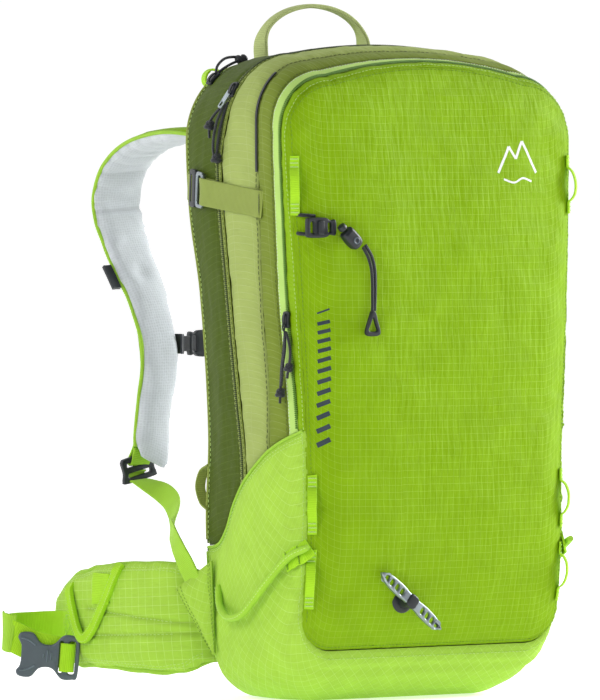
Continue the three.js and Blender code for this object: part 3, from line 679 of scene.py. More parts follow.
HALF_WIDTH = profile([(0, 160), (0.3, 158), (0.55, 156), (1, 141)])
FRONT_SHARE = profile([(60, 0.905), (215, 0.905), (330, 0.94), (500, 1)])
TOP = profile([(0, 583), (0.3, 597), (0.55, 601), (1, 594)])
BOTTOM = profile([(0, 50), (0.08, 28), (0.15, 14), (0.24, 5), (0.35, 0), (0.9, 0), (1, 12)])
CROWN = profile([(0, 15), (0.3, 9), (1, 8)])
TOP_RADIUS = profile([(0, 52), (0.15, 52), (0.55, 62), (1, 72)])
BOTTOM_RADIUS = profile([(0, 34), (0.08, 46), (0.3, 60), (0.6, 48), (1, 40)])
WING_TOP = profile([(-110, 257), (-57, 237), (-9, 205), (15, 181), (31, 158), (50, 143), (80, 138)])
SHOULDER_Z = 500
SIDE_TAPER = 0.065
HINGE_Z = 256
DOOR_Z = 140
WALL = 2.4
LOWEST = 0.15           # how near to the floor the shell's cloth may come


def half_width(depth, z):
    side = 1 - SIDE_TAPER * np.maximum(SHOULDER_Z - z, 0) / SHOULDER_Z
    return HALF_WIDTH(depth) * mix(FRONT_SHARE(z), side, np.minimum(depth / 0.3, 1))


def side_x(y, z):
    """The bag's half width at a place on its side."""
    ys = [float(seam.y(z)) for seam in SEAMS]
    k = int(np.clip(np.searchsorted(ys, y), 1, len(ys) - 1))
    share = min(max((y - ys[k - 1]) / (ys[k] - ys[k - 1]), 0), 1)
    return float(half_width(mix(SEAMS[k - 1].depth, SEAMS[k].depth, share), z))


def side_top(depth):
    return TOP(depth) - CROWN(depth) - TOP_RADIUS(depth)


def side_bottom(depth):
    return BOTTOM(depth) + BOTTOM_RADIUS(depth)


SIDE_STEPS, ARC_STEPS, FLAT_STEPS = 110, 24, 44
OUTLINE_STEPS = (SIDE_STEPS + ARC_STEPS + FLAT_STEPS) * 2 + 1


def folded(share):
    """A share along the whole outline, 0 to 1, as a share from either side's end to the middle, and the side."""
    return 1 - np.abs(share * 2 - 1), np.where(share < 0.5, -1.0, 1.0)


def outline(depth, start, over):
    """The outline round the bag at a depth for every point: over the top, or under the base, from a height."""
    half, sign = folded(np.linspace(0, 1, OUTLINE_STEPS))
    step = half * (SIDE_STEPS + ARC_STEPS + FLAT_STEPS)
    up = np.clip(step / SIDE_STEPS, 0, 1)
    turn = np.clip((step - SIDE_STEPS) / ARC_STEPS, 0, 1) * math.pi / 2
    flat_share = np.clip((step - SIDE_STEPS - ARC_STEPS) / FLAT_STEPS, 0, 1)
    radius = TOP_RADIUS(depth) if over else BOTTOM_RADIUS(depth)
    corner = side_top(depth) if over else side_bottom(depth)
    z_side = mix(start, corner, up)
    flat = half_width(depth, corner) - radius
    x = np.where(step <= SIDE_STEPS, half_width(depth, z_side), flat + radius * np.cos(turn))
    rise = radius * np.sin(turn) * (1 if over else -1)
    z = np.where(step <= SIDE_STEPS, z_side, corner + rise)
    x_flat = flat * (1 - flat_share)
    z_flat = TOP(depth) - CROWN(depth) * (x_flat / flat) ** 2 if over else BOTTOM(depth) + 0 * x_flat
    on_flat = step > SIDE_STEPS + ARC_STEPS
    return sign * np.where(on_flat, x_flat, x), np.where(on_flat, z_flat, z)


def ring(seam_a, seam_b, share, start, over=True):
    """A line of points round the bag between two seams. share is a number, or a function of the height."""
    share_at = share if callable(share) else (lambda z: share + 0 * z)
    z = np.full(OUTLINE_STEPS, 300.0)
    low = np.full(OUTLINE_STEPS, float(HINGE_Z))
    for _ in range(4):
        x, z = outline(mix(seam_a.depth, seam_b.depth, share_at(z)), low, over)
        low = start(mix(seam_a.y(low), seam_b.y(low), share_at(low)))
    y = mix(seam_a.y(z), seam_b.y(z), share_at(z))
    return np.column_stack([x, y, z])


def from_seam(seam_a, seam_b, distance):
    """The share between two seams that lies a distance in mm behind the first, or (-) before the second."""
    def share(z):
        width = seam_b.y(z) - seam_a.y(z)
        return distance / width if distance >= 0 else 1 + distance / width
    return share


class Skin:
    """A curved sheet as a grid of points, with what is needed to push it about and to sew on it."""

    def __init__(self, points):
        self.points = np.asarray(points, float)
        self.measure()

    def measure(self):
        rows = np.gradient(self.points, axis=0)
        columns = np.gradient(self.points, axis=1)
        self.normals = unit(np.cross(columns, rows))
        out = self.points - np.array([0, 10, 300])
        if np.sum(self.normals * out) < 0:
            self.normals = -self.normals
        across = np.cumsum(np.linalg.norm(rows, axis=2), axis=0)
        along = np.cumsum(np.linalg.norm(columns, axis=2), axis=1)
        self.across = across - across[:1]
        self.along = along - along[:, along.shape[1] // 2][:, None]
        height, width = self.across[-1][None], self.along[:, -1:] - self.along[:, :1]
        self.edge_across = np.minimum(self.across, height - self.across)
        self.edge_along = np.minimum(self.along - self.along[:, :1], width - (self.along - self.along[:, :1]))
        self.edge = np.minimum(self.edge_across, self.edge_along)

    def push(self, amount):
        self.points = self.points + self.normals * amount[..., None]
        self.points[..., 2] = np.maximum(self.points[..., 2], LOWEST)
        self.measure()
        return self

    def face(self, out):
        """Turns every normal to the side that `out` points to: one direction, or one for each point."""
        self.normals *= np.where(np.sum(self.normals * out, axis=2, keepdims=True) < 0, -1, 1)

    def line(self, row, lift):
        """A path along the columns at a row, which may lie between two, with its normals."""
        low = int(np.clip(math.floor(row), 0, len(self.points) - 2))
        t = row - low
        normals = unit(mix(self.normals[low], self.normals[low + 1], t))
        return mix(self.points[low], self.points[low + 1], t) + normals * lift, normals

    def column(self, column, lift):
        points, normals = self.points[:, column], self.normals[:, column]
        return points + normals * lift, normals

    def lump(self, thick):
        rows, columns = self.points.shape[:2]
        inner = self.points - self.normals * thick
        inner[..., 2] = np.maximum(inner[..., 2], LOWEST)
        points = np.concatenate([self.points.reshape(-1, 3), inner.reshape(-1, 3)])
        size = rows * columns
        faces = grid_faces(rows, columns)
        faces += [tuple(i + size for i in f[::-1]) for f in faces]
        rim = [*range(columns), *[r * columns + columns - 1 for r in range(1, rows)],
               *[(rows - 1) * columns + c for c in range(columns - 2, -1, -1)],
               *[r * columns for r in range(rows - 2, 0, -1)]]
        for a, b in zip(rim, rim[1:] + rim[:1]):
            faces.append((a, a + size, b + size, b))
        cloth = np.stack([self.across, self.along], axis=2).reshape(-1, 2)
        # How near each point is to the panel's edge, where the cloth dips into its seam; the cloth is painted
        # darker there, as painted shade.
        seam = np.exp(-self.edge / 5).ravel()
        return points, faces, {"cloth": np.tile(cloth, (2, 1)), "seam": np.tile(seam, 2)}


def shares_between(rows, gap_a, gap_b, seam_a, seam_b):
    """Even shares from just behind one seam to just before the next, with narrow rows by the seams."""
    def at(t):
        def share(z):
            width = seam_b.y(z) - seam_a.y(z)
            return mix(gap_a / width, 1 - gap_b / width, t)
        return share
    eased = (1 - np.cos(np.linspace(0, 1, rows) * math.pi)) / 2
    return [at(t) for t in mix(np.linspace(0, 1, rows), eased, 0.5)]


def above_wing(gap, least=0):
    return lambda y: np.maximum(WING_TOP(y) + gap, least)


def level_at(z):
    return lambda y: z + 0 * y


def soften(skin, puff, seed, gather, wrinkle, roll):
    """Fills a panel out between its seams, gathers it along them and creases it a little."""
    breadth = np.maximum(skin.edge_across.max(axis=0, keepdims=True), 1)
    rise = puff * (1 - (1 - np.clip(skin.edge_across / breadth, 0, 1)) ** 2.2)
    sink = -roll * np.exp(-skin.edge / 1.6)
    near = np.exp(-skin.edge_across / 14)
    puckers = gather * near * field(skin.along / 7.0, skin.across / 30.0, seed, 2)
    folds = wrinkle * field(skin.along / 46.0, skin.across / 26.0, seed + 3) * np.clip(skin.edge / 8, 0, 1)
    fine = wrinkle * 0.35 * field(skin.along / 13.0, skin.across / 22.0, seed + 5) * np.clip(skin.edge / 6, 0, 1)
    return skin.push(rise + sink + puckers + folds + fine)


TREES = {}


def shell_piece(name, skin, material, body, slot, *nodes, thick=WALL, extras=()):
    """A panel of the shell, with its stitches and piping joined on."""
    return sewn(name, [(material, [skin.lump(thick)]), *extras], body, slot, *nodes)


# ---------- the front ----------

def panel_bulge(share, z):
    height = (z - 316) / 267
    return 17 * (1 - share ** 4) * (1 - np.minimum(height ** 4, 1))


def edge_top(depth, x):
    radius = TOP_RADIUS(depth)
    flat = half_width(depth, side_top(depth)) - radius
    past = np.clip(np.abs(x) - flat, 0, radius)
    crown = TOP(depth) - CROWN(depth) * (x / flat) ** 2
    return np.where(past > 0, side_top(depth) + np.sqrt(radius ** 2 - past ** 2), crown)


def edge_bottom(depth, x):
    radius = BOTTOM_RADIUS(depth)
    flat = half_width(depth, side_bottom(depth)) - radius
    past = np.clip(np.abs(x) - flat, 0, radius)
    return side_bottom(depth) - np.sqrt(radius ** 2 - past ** 2)


def face_grid(depth, seam_y, low, high, rows, columns, inset=0.0, shift=0.0, bulge=0.0):
    """A panel across the bag, as rows from its lower edge to its upper one."""
    across = np.sin(np.linspace(-1, 1, columns) * math.pi / 2)
    across = mix(np.linspace(-1, 1, columns), across, 0.45)
    level = np.linspace(0, 1, rows)
    level = mix(level, (1 - np.cos(level * math.pi)) / 2, 0.35)[:, None]
    x = across[None] * (half_width(depth, SHOULDER_Z) - inset)
    x_low = across[None] * (half_width(depth, side_bottom(depth)) - inset)
    bottom = np.maximum(low, edge_bottom(depth, x_low) + inset)
    top = np.minimum(high, edge_top(depth, x) - inset)
    z = mix(bottom, top, level)
    narrow = (half_width(depth, z) - inset) / (half_width(depth, SHOULDER_Z) - inset)
    y = seam_y(z) + shift - bulge * panel_bulge(across[None], z)
    return np.stack([x * narrow, y, z], axis=2)


def surface_tree(skin):
    """A tree for finding where a ray meets a skin."""
    rows, columns = skin.points.shape[:2]
    return BVHTree.FromPolygons([Vector(p) for p in skin.points.reshape(-1, 3)], grid_faces(rows, columns))


def drape(tree, points, direction, lift):
    """Puts points down on a surface along a direction. Returns the points and their normals."""
    direction = Vector(direction)
    placed, normals = [], []
    for p in np.asarray(points, float):
        start = Vector(p) - direction * 120
        hit, normal, _, _ = tree.ray_cast(start, direction)
        if hit is None:
            hit, normal, _, _ = tree.find_nearest(Vector(p))
        if normal.dot(direction) > 0:
            normal = -normal
        placed.append(hit + normal * lift)
        normals.append(normal)
    return np.array(placed), np.array(normals)


def make_front():
    skin = Skin(face_grid(0, FRONT_EDGE.y, 0, 1000, 250, 136, bulge=1))
    if skin.normals[..., 1].mean() > 0:
        skin.normals = -skin.normals
    edge = skin.edge
    x, z = skin.points[..., 0], skin.points[..., 2]
    roll = -1.5 * np.exp(-edge / 3.0) - 0.8 * np.exp(-edge / 12.0)
    full = 1.6 * np.exp(-((edge - 30) / 18.0) ** 2)
    folds = 1.5 * field(x / 60.0, z / 34.0, 11) * np.clip(edge / 20, 0, 1)
    creases = 0.55 * field(x / 26.0 + z / 90.0, z / 9.0, 12) * np.clip(edge / 10, 0, 1)
    gathers = 0.8 * np.exp(-edge / 12.0) * field((x + z) / 7.0, (z - x) / 7.0, 13, 2)
    sag = 1.8 * np.exp(-((z - 96) / 42.0) ** 2) * np.cos(x / 154 * 1.4)
    skin.points[..., 1] -= roll + full + folds + creases + gathers + sag
    skin.measure()
    inside, out = (np.concatenate([grid[2, 4:-4], grid[4:-4, -4], grid[-3, ::-1][4:-4], grid[-5:3:-1, 3]])
                   for grid in (skin.points, skin.normals))
    thread = seam_stitches(inside + out * 0.1, out, 2.4, 1.4, 0.55)
    TREES["front"] = surface_tree(skin)
    front = merge("front_skin", [join("front_skin", [skin.lump(WALL)], ["lime"]),
                                 join("front_trim", [thread], ["thread_lime"])])
    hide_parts("front_panel", "front_lower_panel")
    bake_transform(front)
    bpy.context.view_layer.update()


# ---------- the panels that run round the bag ----------

def make_gussets():
    over_wing, over_hinge, over_door = above_wing(1.5), level_at(HINGE_Z - 5), above_wing(1.5, DOOR_Z)
    for name, pair, rows, start, gaps, puff, seed, soft, stitched, thread, finish in (
            ("flap_gusset", (FRONT_EDGE, FRONT_ZIP), 9, over_hinge, (0.3, 0.3), 0.9, 21, (0.9, 0.4, 0.9),
             (2, 0.1, 2.6, 1.5, 0.5), "thread_pale", ("lime", "front_flap", "lime_ripstop", "front_flap_gusset")),
            ("front_zip_tape", (FRONT_ZIP, TAPE_EDGE), 11, over_wing, (0.3, 0.6), 0.5, 22, (0.5, 0.25, 0.5),
             (8.2, 0.1, 1.5, 1.5, 0.6), "thread_white", ("tape", "pack", "zip_tape", "front_zip")),
            ("front_side_strip", (TAPE_EDGE, MIDDLE), 14, over_wing, (0.4, 0.4), 1.0, 23, (0.7, 0.5, 1.3),
             (1.2, 0.1, 2.6, 1.5, 0.45), "thread_dark", ("olive", "pack", "olive", "front_gusset")),
            # The wide side panel takes the lit copy of the olive cloth, painted light; the rear panel takes the
            # darker olive with painted shade.
            ("side_gusset_panel", (MIDDLE, MAIN_ZIP), 26, over_wing, (0.5, 4.0), 2.4, 24, (0.9, 1.1, 1.8),
             (1.4, 0.15, 3.4, 1.6, 0.6), "thread_dark", ("olive_light", "pack", "olive_light", "side_gusset")),
            ("rear_gusset_panel", (MAIN_ZIP, BACK_EDGE), 34, over_door, (4.0, 0.6), 2.2, 25, (0.9, 1.2, 1.8),
             (30.5, 0.15, 3.0, 1.8, 0.6), "thread_pale", ("olive_dark", "back_door", "olive_dark", "rear_gusset"))):
        skin = soften(Skin([ring(*pair, share, start) for share in shares_between(rows, *gaps, *pair)]),
                      puff, seed, *soft)
        row, lift, *stitch = stitched
        shell_piece(name, skin, *finish, extras=[(thread, [seam_stitches(*skin.line(row, lift), *stitch)])])
    # A dark strip along the left side's seam near the top: painted shade of the slit's opening there.
    slit = ring(TAPE_EDGE, MIDDLE, 1.0, over_wing)
    slit = slit[(slit[:, 0] < 0) & (slit[:, 2] > 486) & (slit[:, 2] < 578)]
    away = unit(np.column_stack([slit[:, 0] + 90, 0 * slit[:, 0], np.maximum(slit[:, 2] - 530, 0)]))
    settle(join("side_slit_shade", [webbing_lump(resample(slit + away * 1.0, 1.6), 2.6, 1.2, (0, 1, 0))], ["cord"]),
           "pack", "olive")
    make_zip_band()
    make_front_coil()


def tape_between(distances, lift, start):
    """A narrow tape laid beside the main zip: distances are in mm before (-) or behind (+) its seam."""
    lines = []
    for d in distances:
        pair = (MIDDLE, MAIN_ZIP) if d < 0 else (MAIN_ZIP, BACK_EDGE)
        lines.append(ring(*pair, from_seam(*pair, d if d else 1e-3), start))
    skin = Skin(lines)
    skin.points = skin.points + skin.normals * lift
    skin.measure()
    return skin


def coil_lump(path, normals, height):
    """A zip's coil seen from outside: a close row of small rounded teeth, each lying across the zip."""
    pitch, width = 1.9, 1.5
    run = run_along(path)
    at = np.arange(pitch, run[-1] - pitch, pitch)
    centre, out, along = (sample(at, run, values) for values in (path, normals, np.gradient(path, axis=0)))
    out = unit(out)
    across = np.cross(unit(along), out)
    return stitch_lump((centre - across * width / 2, centre + across * width / 2), out, height)


def make_zip_band():
    for name, distances, body, row, stitch_row, start in (
            ("main_zip_tape_front", (-5.2, -4.4, -3.2, -1.6, -0.9), "pack", 4, 1, above_wing(2)),
            ("main_zip_tape_rear", (0.9, 1.6, 3.2, 4.4, 5.2), "back_door", 0, 3, above_wing(2, DOOR_Z + 4))):
        skin = tape_between(distances, 1.3, start)
        shell_piece(name, skin, "olive_webbing", body, "olive_webbing", thick=1.0,
                    extras=[("coil", [coil_lump(*skin.line(row, 0.4), 1.3)]),
                            ("thread_dark", [seam_stitches(*skin.line(stitch_row, 0.15), 2.8, 1.8, 0.55)])])


def make_front_coil():
    """The front zip's two rows of teeth: one stays on the bag, the other goes with the flap."""
    for name, pair, distance, body, start in (
            ("front_zip_coil_fixed", (FRONT_ZIP, TAPE_EDGE), 0.8, "pack", above_wing(3)),
            ("front_zip_coil_flap", (FRONT_EDGE, FRONT_ZIP), -0.8, "front_flap", level_at(HINGE_Z + 5))):
        line = ring(*pair, from_seam(*pair, distance), start)
        skin = Skin([line + [0, -0.5, 0], line, line + [0, 0.5, 0]])
        settle(join(name, [coil_lump(*skin.line(1, 0.7), 1.5)], ["lime_coil"]), body, "zip_tape")


def make_lower_cover():
    """The cover: up both sides as curved wings, under the base, and a short way up the front and the back."""
    even = np.linspace(0, 1, 90)
    shares = mix(0.003, 0.997, mix(even, (1 - np.cos(even * math.pi)) / 2, 0.4))
    skin = Skin([ring(FRONT_EDGE, BACK_EDGE, share, above_wing(-0.5), over=False) for share in shares])
    x, y, z = (skin.points[..., k] for k in range(3))
    skin.face(np.stack([x, 0 * x, z - 60], axis=2))
    wing = np.clip(skin.edge_along / 60, 0, 1)
    height = np.clip((z - 6) / 30, 0, 1)
    front = y - FRONT_EDGE.y(z)
    puff = 3.4 * np.clip(skin.edge / 30, 0, 1) ** 0.7 * height
    gather = 1.3 * np.exp(-front / 16) * field(z / 5.5, front / 28, 31, 2) * height
    radiate = 1.8 * np.exp(-np.hypot(y + 100, z - 140) / 45) * field(
        np.arctan2(z - 140, y + 108) * 5.0, front / 60, 32, 2)
    folds = 1.5 * field((y + z) / 42, (y - z) / 19, 33) * wing * height
    base = 1.4 * np.exp(-((z - 26) / 14.0) ** 2) * field(y / 7, z / 30, 34, 2)
    roll = -1.4 * np.exp(-skin.edge_across / 1.8)
    skin.points = skin.points + skin.normals * (puff + gather + radiate + folds + base + roll)[..., None]
    skin.points[..., 2] = np.maximum(skin.points[..., 2], 0.2)
    outward = skin.normals.copy()
    skin.measure()
    skin.face(outward)
    TREES["cover"] = surface_tree(skin)
    hems = [tube_lump(resample(skin.column(column, 0.6)[0][2:-2], 2.5), 1.5, 8) for column in (0, -1)]
    rows = [[part[2:-2] for part in skin.column(column, 0.2)] for column in (3, 5, -4, -6)]
    rows += [skin.line(row, 0.2) for row in (3, len(even) - 5)]
    threads = [seam_stitches(*row, 2.6, 1.5, 0.5) for row in rows]
    shell_piece("lower_cover_skin", skin, "cover", "pack", "lime_cover", "lower_cover",
                extras=[("binding", hems), ("thread_pale", threads)])


def make_edge_piping():
    """The rolled seam round the back, over the top and under the base."""
    for name, seam, body, material, slot, over, start in (
            ("back_seam_piping", MAIN_ZIP, "back_door", "olive_webbing", "olive_dark", True, DOOR_Z + 5),
            ("back_base_piping", FRONT_EDGE, "pack", "binding", "lime_cover", False, DOOR_Z - 6)):
        line = ring(seam, BACK_EDGE, 1.0, level_at(start), over)
        line[:, 2] = np.maximum(line[:, 2], 1.6)
        away = unit(np.column_stack([line[:, 0], 0 * line[:, 0], line[:, 2] - 300]))
        settle(join(name, [tube_lump(resample(line - away * 0.6, 2.6), 1.5, 8)], [material]), body, slot)


# ---------- inside and back ----------

def flat_panel(name, depth, seam, low, high, material, body, slot, node, shift, wall, wave, rows=60, inset=0.0,
               seed=41):
    skin = Skin(face_grid(depth, seam.y, low, high, rows, 60, inset=inset, shift=shift))
    x, z = skin.points[..., 0], skin.points[..., 2]
    skin.points[..., 1] += wave * field(x / 50, z / 40, seed) * np.clip(skin.edge / 10, 0, 1)
    skin.measure()
    skin.face((0, 1 if depth > 0.5 else -1, 0))
    return shell_piece(name, skin, material, body, slot, node, thick=wall)


def make_inside_and_back():
    flat_panel("inner_divider", 0.12, TAPE_EDGE, 30, 1000, "lining", "pack", "olive", "divider", 2, 1.5, inset=4.4,
               wave=1.0)
    # The back sheets take the darker olive with painted shade in it.
    flat_panel("back_sheet", 1, BACK_EDGE, DOOR_Z + 2, 1000, "olive_dark", "back_door", "olive_dark", "frame_sheet",
               0.0, WALL, wave=0.5, seed=42)
    flat_panel("lumbar_sheet", 1, BACK_EDGE, 0, DOOR_Z - 2, "olive_dark", "pack", "lime_cover", "lumbar_panel",
               0.0, WALL, rows=30, wave=0.4, seed=43)
    stay = [(-78, z) for z in range(160, 509, 29)]
    stay += [(-78 * math.cos(t), 508 + 40 * math.sin(t)) for t in np.linspace(0.15, math.pi - 0.15, 15)]
    stay += [(78, z) for z in range(508, 159, -29)]
    path = np.array([(x, float(BACK_EDGE.y(min(z, 520))) - WALL - 4.2, z) for x, z in stay])
    settle(join("frame_stay_rod", [tube_lump(resample(path, 4), 2.5, 12)], ["aluminium"]), "back_door", "aluminium",
           "frame_stay")


# ---------- padded pieces ----------

CLOTH_STEPS = 20


def inflate(obj, cap, voxel):
    """Swells a closed pad with a short cloth simulation, no point moving further than the cap in mm."""
    mesh = obj.data
    remesh = obj.modifiers.new("voxels", "REMESH")
    remesh.mode = "VOXEL"
    remesh.voxel_size = voxel * MM
    depsgraph = bpy.context.evaluated_depsgraph_get()
    even = bpy.data.meshes.new_from_object(obj.evaluated_get(depsgraph))
    obj.modifiers.clear()
    start = np.array([v.co for v in even.vertices])
    obj.data = even
    scene = bpy.context.scene
    cloth = obj.modifiers.new("cloth", "CLOTH")
    settings = cloth.settings
    settings.use_pressure = True
    settings.uniform_pressure_force = 4
    settings.effector_weights.gravity = 0
    settings.quality = 5
    settings.tension_stiffness = settings.compression_stiffness = 15
    settings.bending_stiffness = 0.5
    cloth.point_cache.frame_start = 1
    cloth.point_cache.frame_end = CLOTH_STEPS
    for step in range(1, CLOTH_STEPS + 1):
        scene.frame_set(step)
    depsgraph = bpy.context.evaluated_depsgraph_get()
    swollen = np.array([v.co for v in obj.evaluated_get(depsgraph).data.vertices])
    obj.modifiers.clear()
    scene.frame_set(1)
    move = swollen - start
    length = np.linalg.norm(move, axis=1, keepdims=True)
    move *= np.minimum(1, cap * MM / np.maximum(length, 1e-9))
    even.vertices.foreach_set("co", (start + move).ravel())
    fine = bmesh.new()
    fine.from_mesh(even)
    for _ in range(3):
        bmesh.ops.smooth_vert(fine, verts=fine.verts, factor=0.5, use_axis_x=True, use_axis_y=True, use_axis_z=True)
    fine.to_mesh(even)
    fine.free()
    subdivide = obj.modifiers.new("fine", "SUBSURF")
    subdivide.levels = subdivide.render_levels = 1
    depsgraph = bpy.context.evaluated_depsgraph_get()
    final = bpy.data.meshes.new_from_object(obj.evaluated_get(depsgraph))
    obj.modifiers.clear()
    obj.data = final
    bpy.data.meshes.remove(even)
    if mesh.users == 0:
        bpy.data.meshes.remove(mesh)
    return obj


def read_vectors(items, key):
    flat = np.empty(len(items) * 3)
    items.foreach_get(key, flat)
    return flat.reshape(-1, 3)


def points_of(obj):
    return read_vectors(obj.data.vertices, "co") / MM


def set_points(obj, points):
    obj.data.vertices.foreach_set("co", (np.asarray(points) * MM).ravel())
    obj.data.update()


def normals_of(obj):
    return read_vectors(obj.data.vertices, "normal")


def paint(obj, materials, cloth, seam, face_index=None):
    """Sets a pad's materials, its cloth coordinates and how close each point is to a seam or groove, where the
    cloth is painted darker as painted shade.
    """
    mesh = obj.data
    mesh.materials.clear()
    for material in materials:
        mesh.materials.append(MAT[material])
    cloth = np.column_stack([cloth, np.zeros(len(cloth))])
    for key, kind, values in (("cloth", "FLOAT_VECTOR", cloth), ("seam", "FLOAT", seam)):
        layer = mesh.attributes.get(key) or mesh.attributes.new(key, kind, "POINT")
        layer.data.foreach_set("vector" if kind == "FLOAT_VECTOR" else "value",
                               np.asarray(values, np.float32).ravel())
    if face_index is not None:
        mesh.polygons.foreach_set("material_index", np.asarray(face_index, np.int32))
    mesh.shade_smooth()


def face_centres(obj):
    return read_vectors(obj.data.polygons, "center") / MM


def tree_of(obj):
    return BVHTree.FromPolygons([Vector(p) for p in points_of(obj)],
                                [tuple(p.vertices) for p in obj.data.polygons])


def rim_of(along, reach, at, window):
    """How far a pad reaches out at each distance along it, smoothed."""
    found = np.array([reach[np.abs(along - a) < window].max(initial=0) for a in at])
    return np.convolve(np.pad(found, 3, mode="edge"), np.full(7, 1 / 7), mode="valid")


class Ribbon:
    """A path with a side direction, for finding where a point lies along and across a strap."""

    def __init__(self, path, side):
        self.path = np.asarray(path, float)
        self.tangent, self.side, self.normal = frames(self.path, side)
        self.run = run_along(self.path)
        self.tree = KDTree(len(self.path))
        for i, p in enumerate(self.path):
            self.tree.insert(Vector(p), i)
        self.tree.balance()

    def locate(self, points):
        """For each point: distance along, distance across, height over the strap's middle."""
        index = np.array([self.tree.find(Vector(p))[1] for p in points])
        away = points - self.path[index]
        along = self.run[index] + np.sum(away * self.tangent[index], axis=1)
        return np.column_stack([along, np.sum(away * self.side[index], axis=1),
                                np.sum(away * self.normal[index], axis=1)])

    def place(self, along, across, height):
        """The point at a distance along, across and over the strap's middle."""
        along, across, height = np.broadcast_arrays(along, across, height)
        path, side, normal = (sample(along, self.run, values) for values in (self.path, self.side, self.normal))
        return path + side * across[..., None] + normal * height[..., None]


def pad_lump(ribbon, half_width_at, thick_at, steps, power):
    """A closed cushion along a ribbon, its section a rounded flat oval."""
    turn = np.arange(steps) / steps * 2 * math.pi
    c, s = np.cos(turn), np.sin(turn)
    w = np.sign(c) * np.abs(c) ** (2 / power)
    h = np.sign(s) * np.abs(s) ** (2 / power)
    half = np.array([half_width_at(t) for t in ribbon.run / ribbon.run[-1]])
    low, high = (half[:, 0], half[:, 1]) if half.ndim == 2 else (-half, half)
    thick = np.array([thick_at(t) for t in ribbon.run / ribbon.run[-1]])
    across = mix(low[:, None], high[:, None], (w[None] + 1) / 2)
    points = (ribbon.path[:, None] + ribbon.side[:, None] * across[..., None]
              + ribbon.normal[:, None] * (h[None] * thick[:, None] / 2)[..., None])
    faces = grid_faces(len(ribbon.path), steps, ring=True)
    faces += [tuple(range(steps))[::-1], tuple(range((len(ribbon.path) - 1) * steps, len(ribbon.path) * steps))]
    return points.reshape(-1, 3), faces, {}


# ---------- back pads, straps and belt ----------

def back_pad(name, x_low, x_high, z_low, z_high, thick, body, node, grooves, cap):
    middle, half = (x_low + x_high) / 2, (x_high - x_low) / 2 - 1.5
    z = np.linspace(z_low + 1.5, z_high - 1.5, 40)
    path = np.column_stack([np.full(40, middle), BACK_EDGE.y(z) + 2.5 + thick / 2, z])
    ribbon = Ribbon(path, (1, 0, 0))
    corner = 0.14 if z_low > 50 else 0.0

    def half_at(t):
        near = min(t, 1 - t) if corner else 1 - t
        return half * (1 - 0.16 * (1 - min(near / 0.12, 1)) ** 2)

    def thick_at(t):
        near = min(t, 1 - t) if corner else 1 - t
        return thick * (0.45 + 0.5 * smooth(near / 0.08))
    points, faces, _ = pad_lump(ribbon, half_at, thick_at, 40, 4.0)
    obj = make_object(name, points, faces, ["mesh"])
    inflate(obj, cap, voxel=5.0)
    p = points_of(obj)
    place = ribbon.locate(p)
    outer = place[:, 2] * (-1 if ribbon.normal[0][1] < 0 else 1) > 0
    groove = np.zeros(len(p))
    for level in grooves:
        groove = np.maximum(groove, np.exp(-((p[:, 2] - level - 0.0009 * (p[:, 0] - middle) ** 2) / 2.4) ** 2))
    p[:, 1] -= np.where(outer, groove * thick * 0.26, 0)
    p[:, 1] = np.maximum(p[:, 1], BACK_EDGE.y(p[:, 2]) + 1.0)
    p[:, 2] = np.maximum(p[:, 2], 0.3)
    set_points(obj, p)
    # The pad is painted darker in its grooves and along its rim: painted shade.
    rim = np.exp(-np.maximum(half - np.abs(place[:, 1]), 0) / 3.0)
    paint(obj, ["mesh"], place[:, :2], np.maximum(groove, rim))
    return settle(obj, body, "mesh_foam", node)


STRAP_LINE = [(119, 508), (150, 519), (203, 521), (256, 511), (290, 491), (306, 466), (308, 444), (298, 413),
              (277, 382), (256, 352), (243, 328), (242, 304), (248, 274), (251, 243), (250, 222), (248, 204)]
STRAP_X = 76
STRAP_HALF = 29.5
STRAP_BAR = 228.0       # how far along the strap its cross seam lies
STRAP_PITCH = 2.5


def strap_ribbon(sign):
    last = len(STRAP_LINE) - 1
    line = [(sign * (STRAP_X + 6 * math.sin(i / last * math.pi * 2)), y, z) for i, (y, z) in enumerate(STRAP_LINE)]
    return Ribbon(resample(line, STRAP_PITCH), (1, 0, 0))


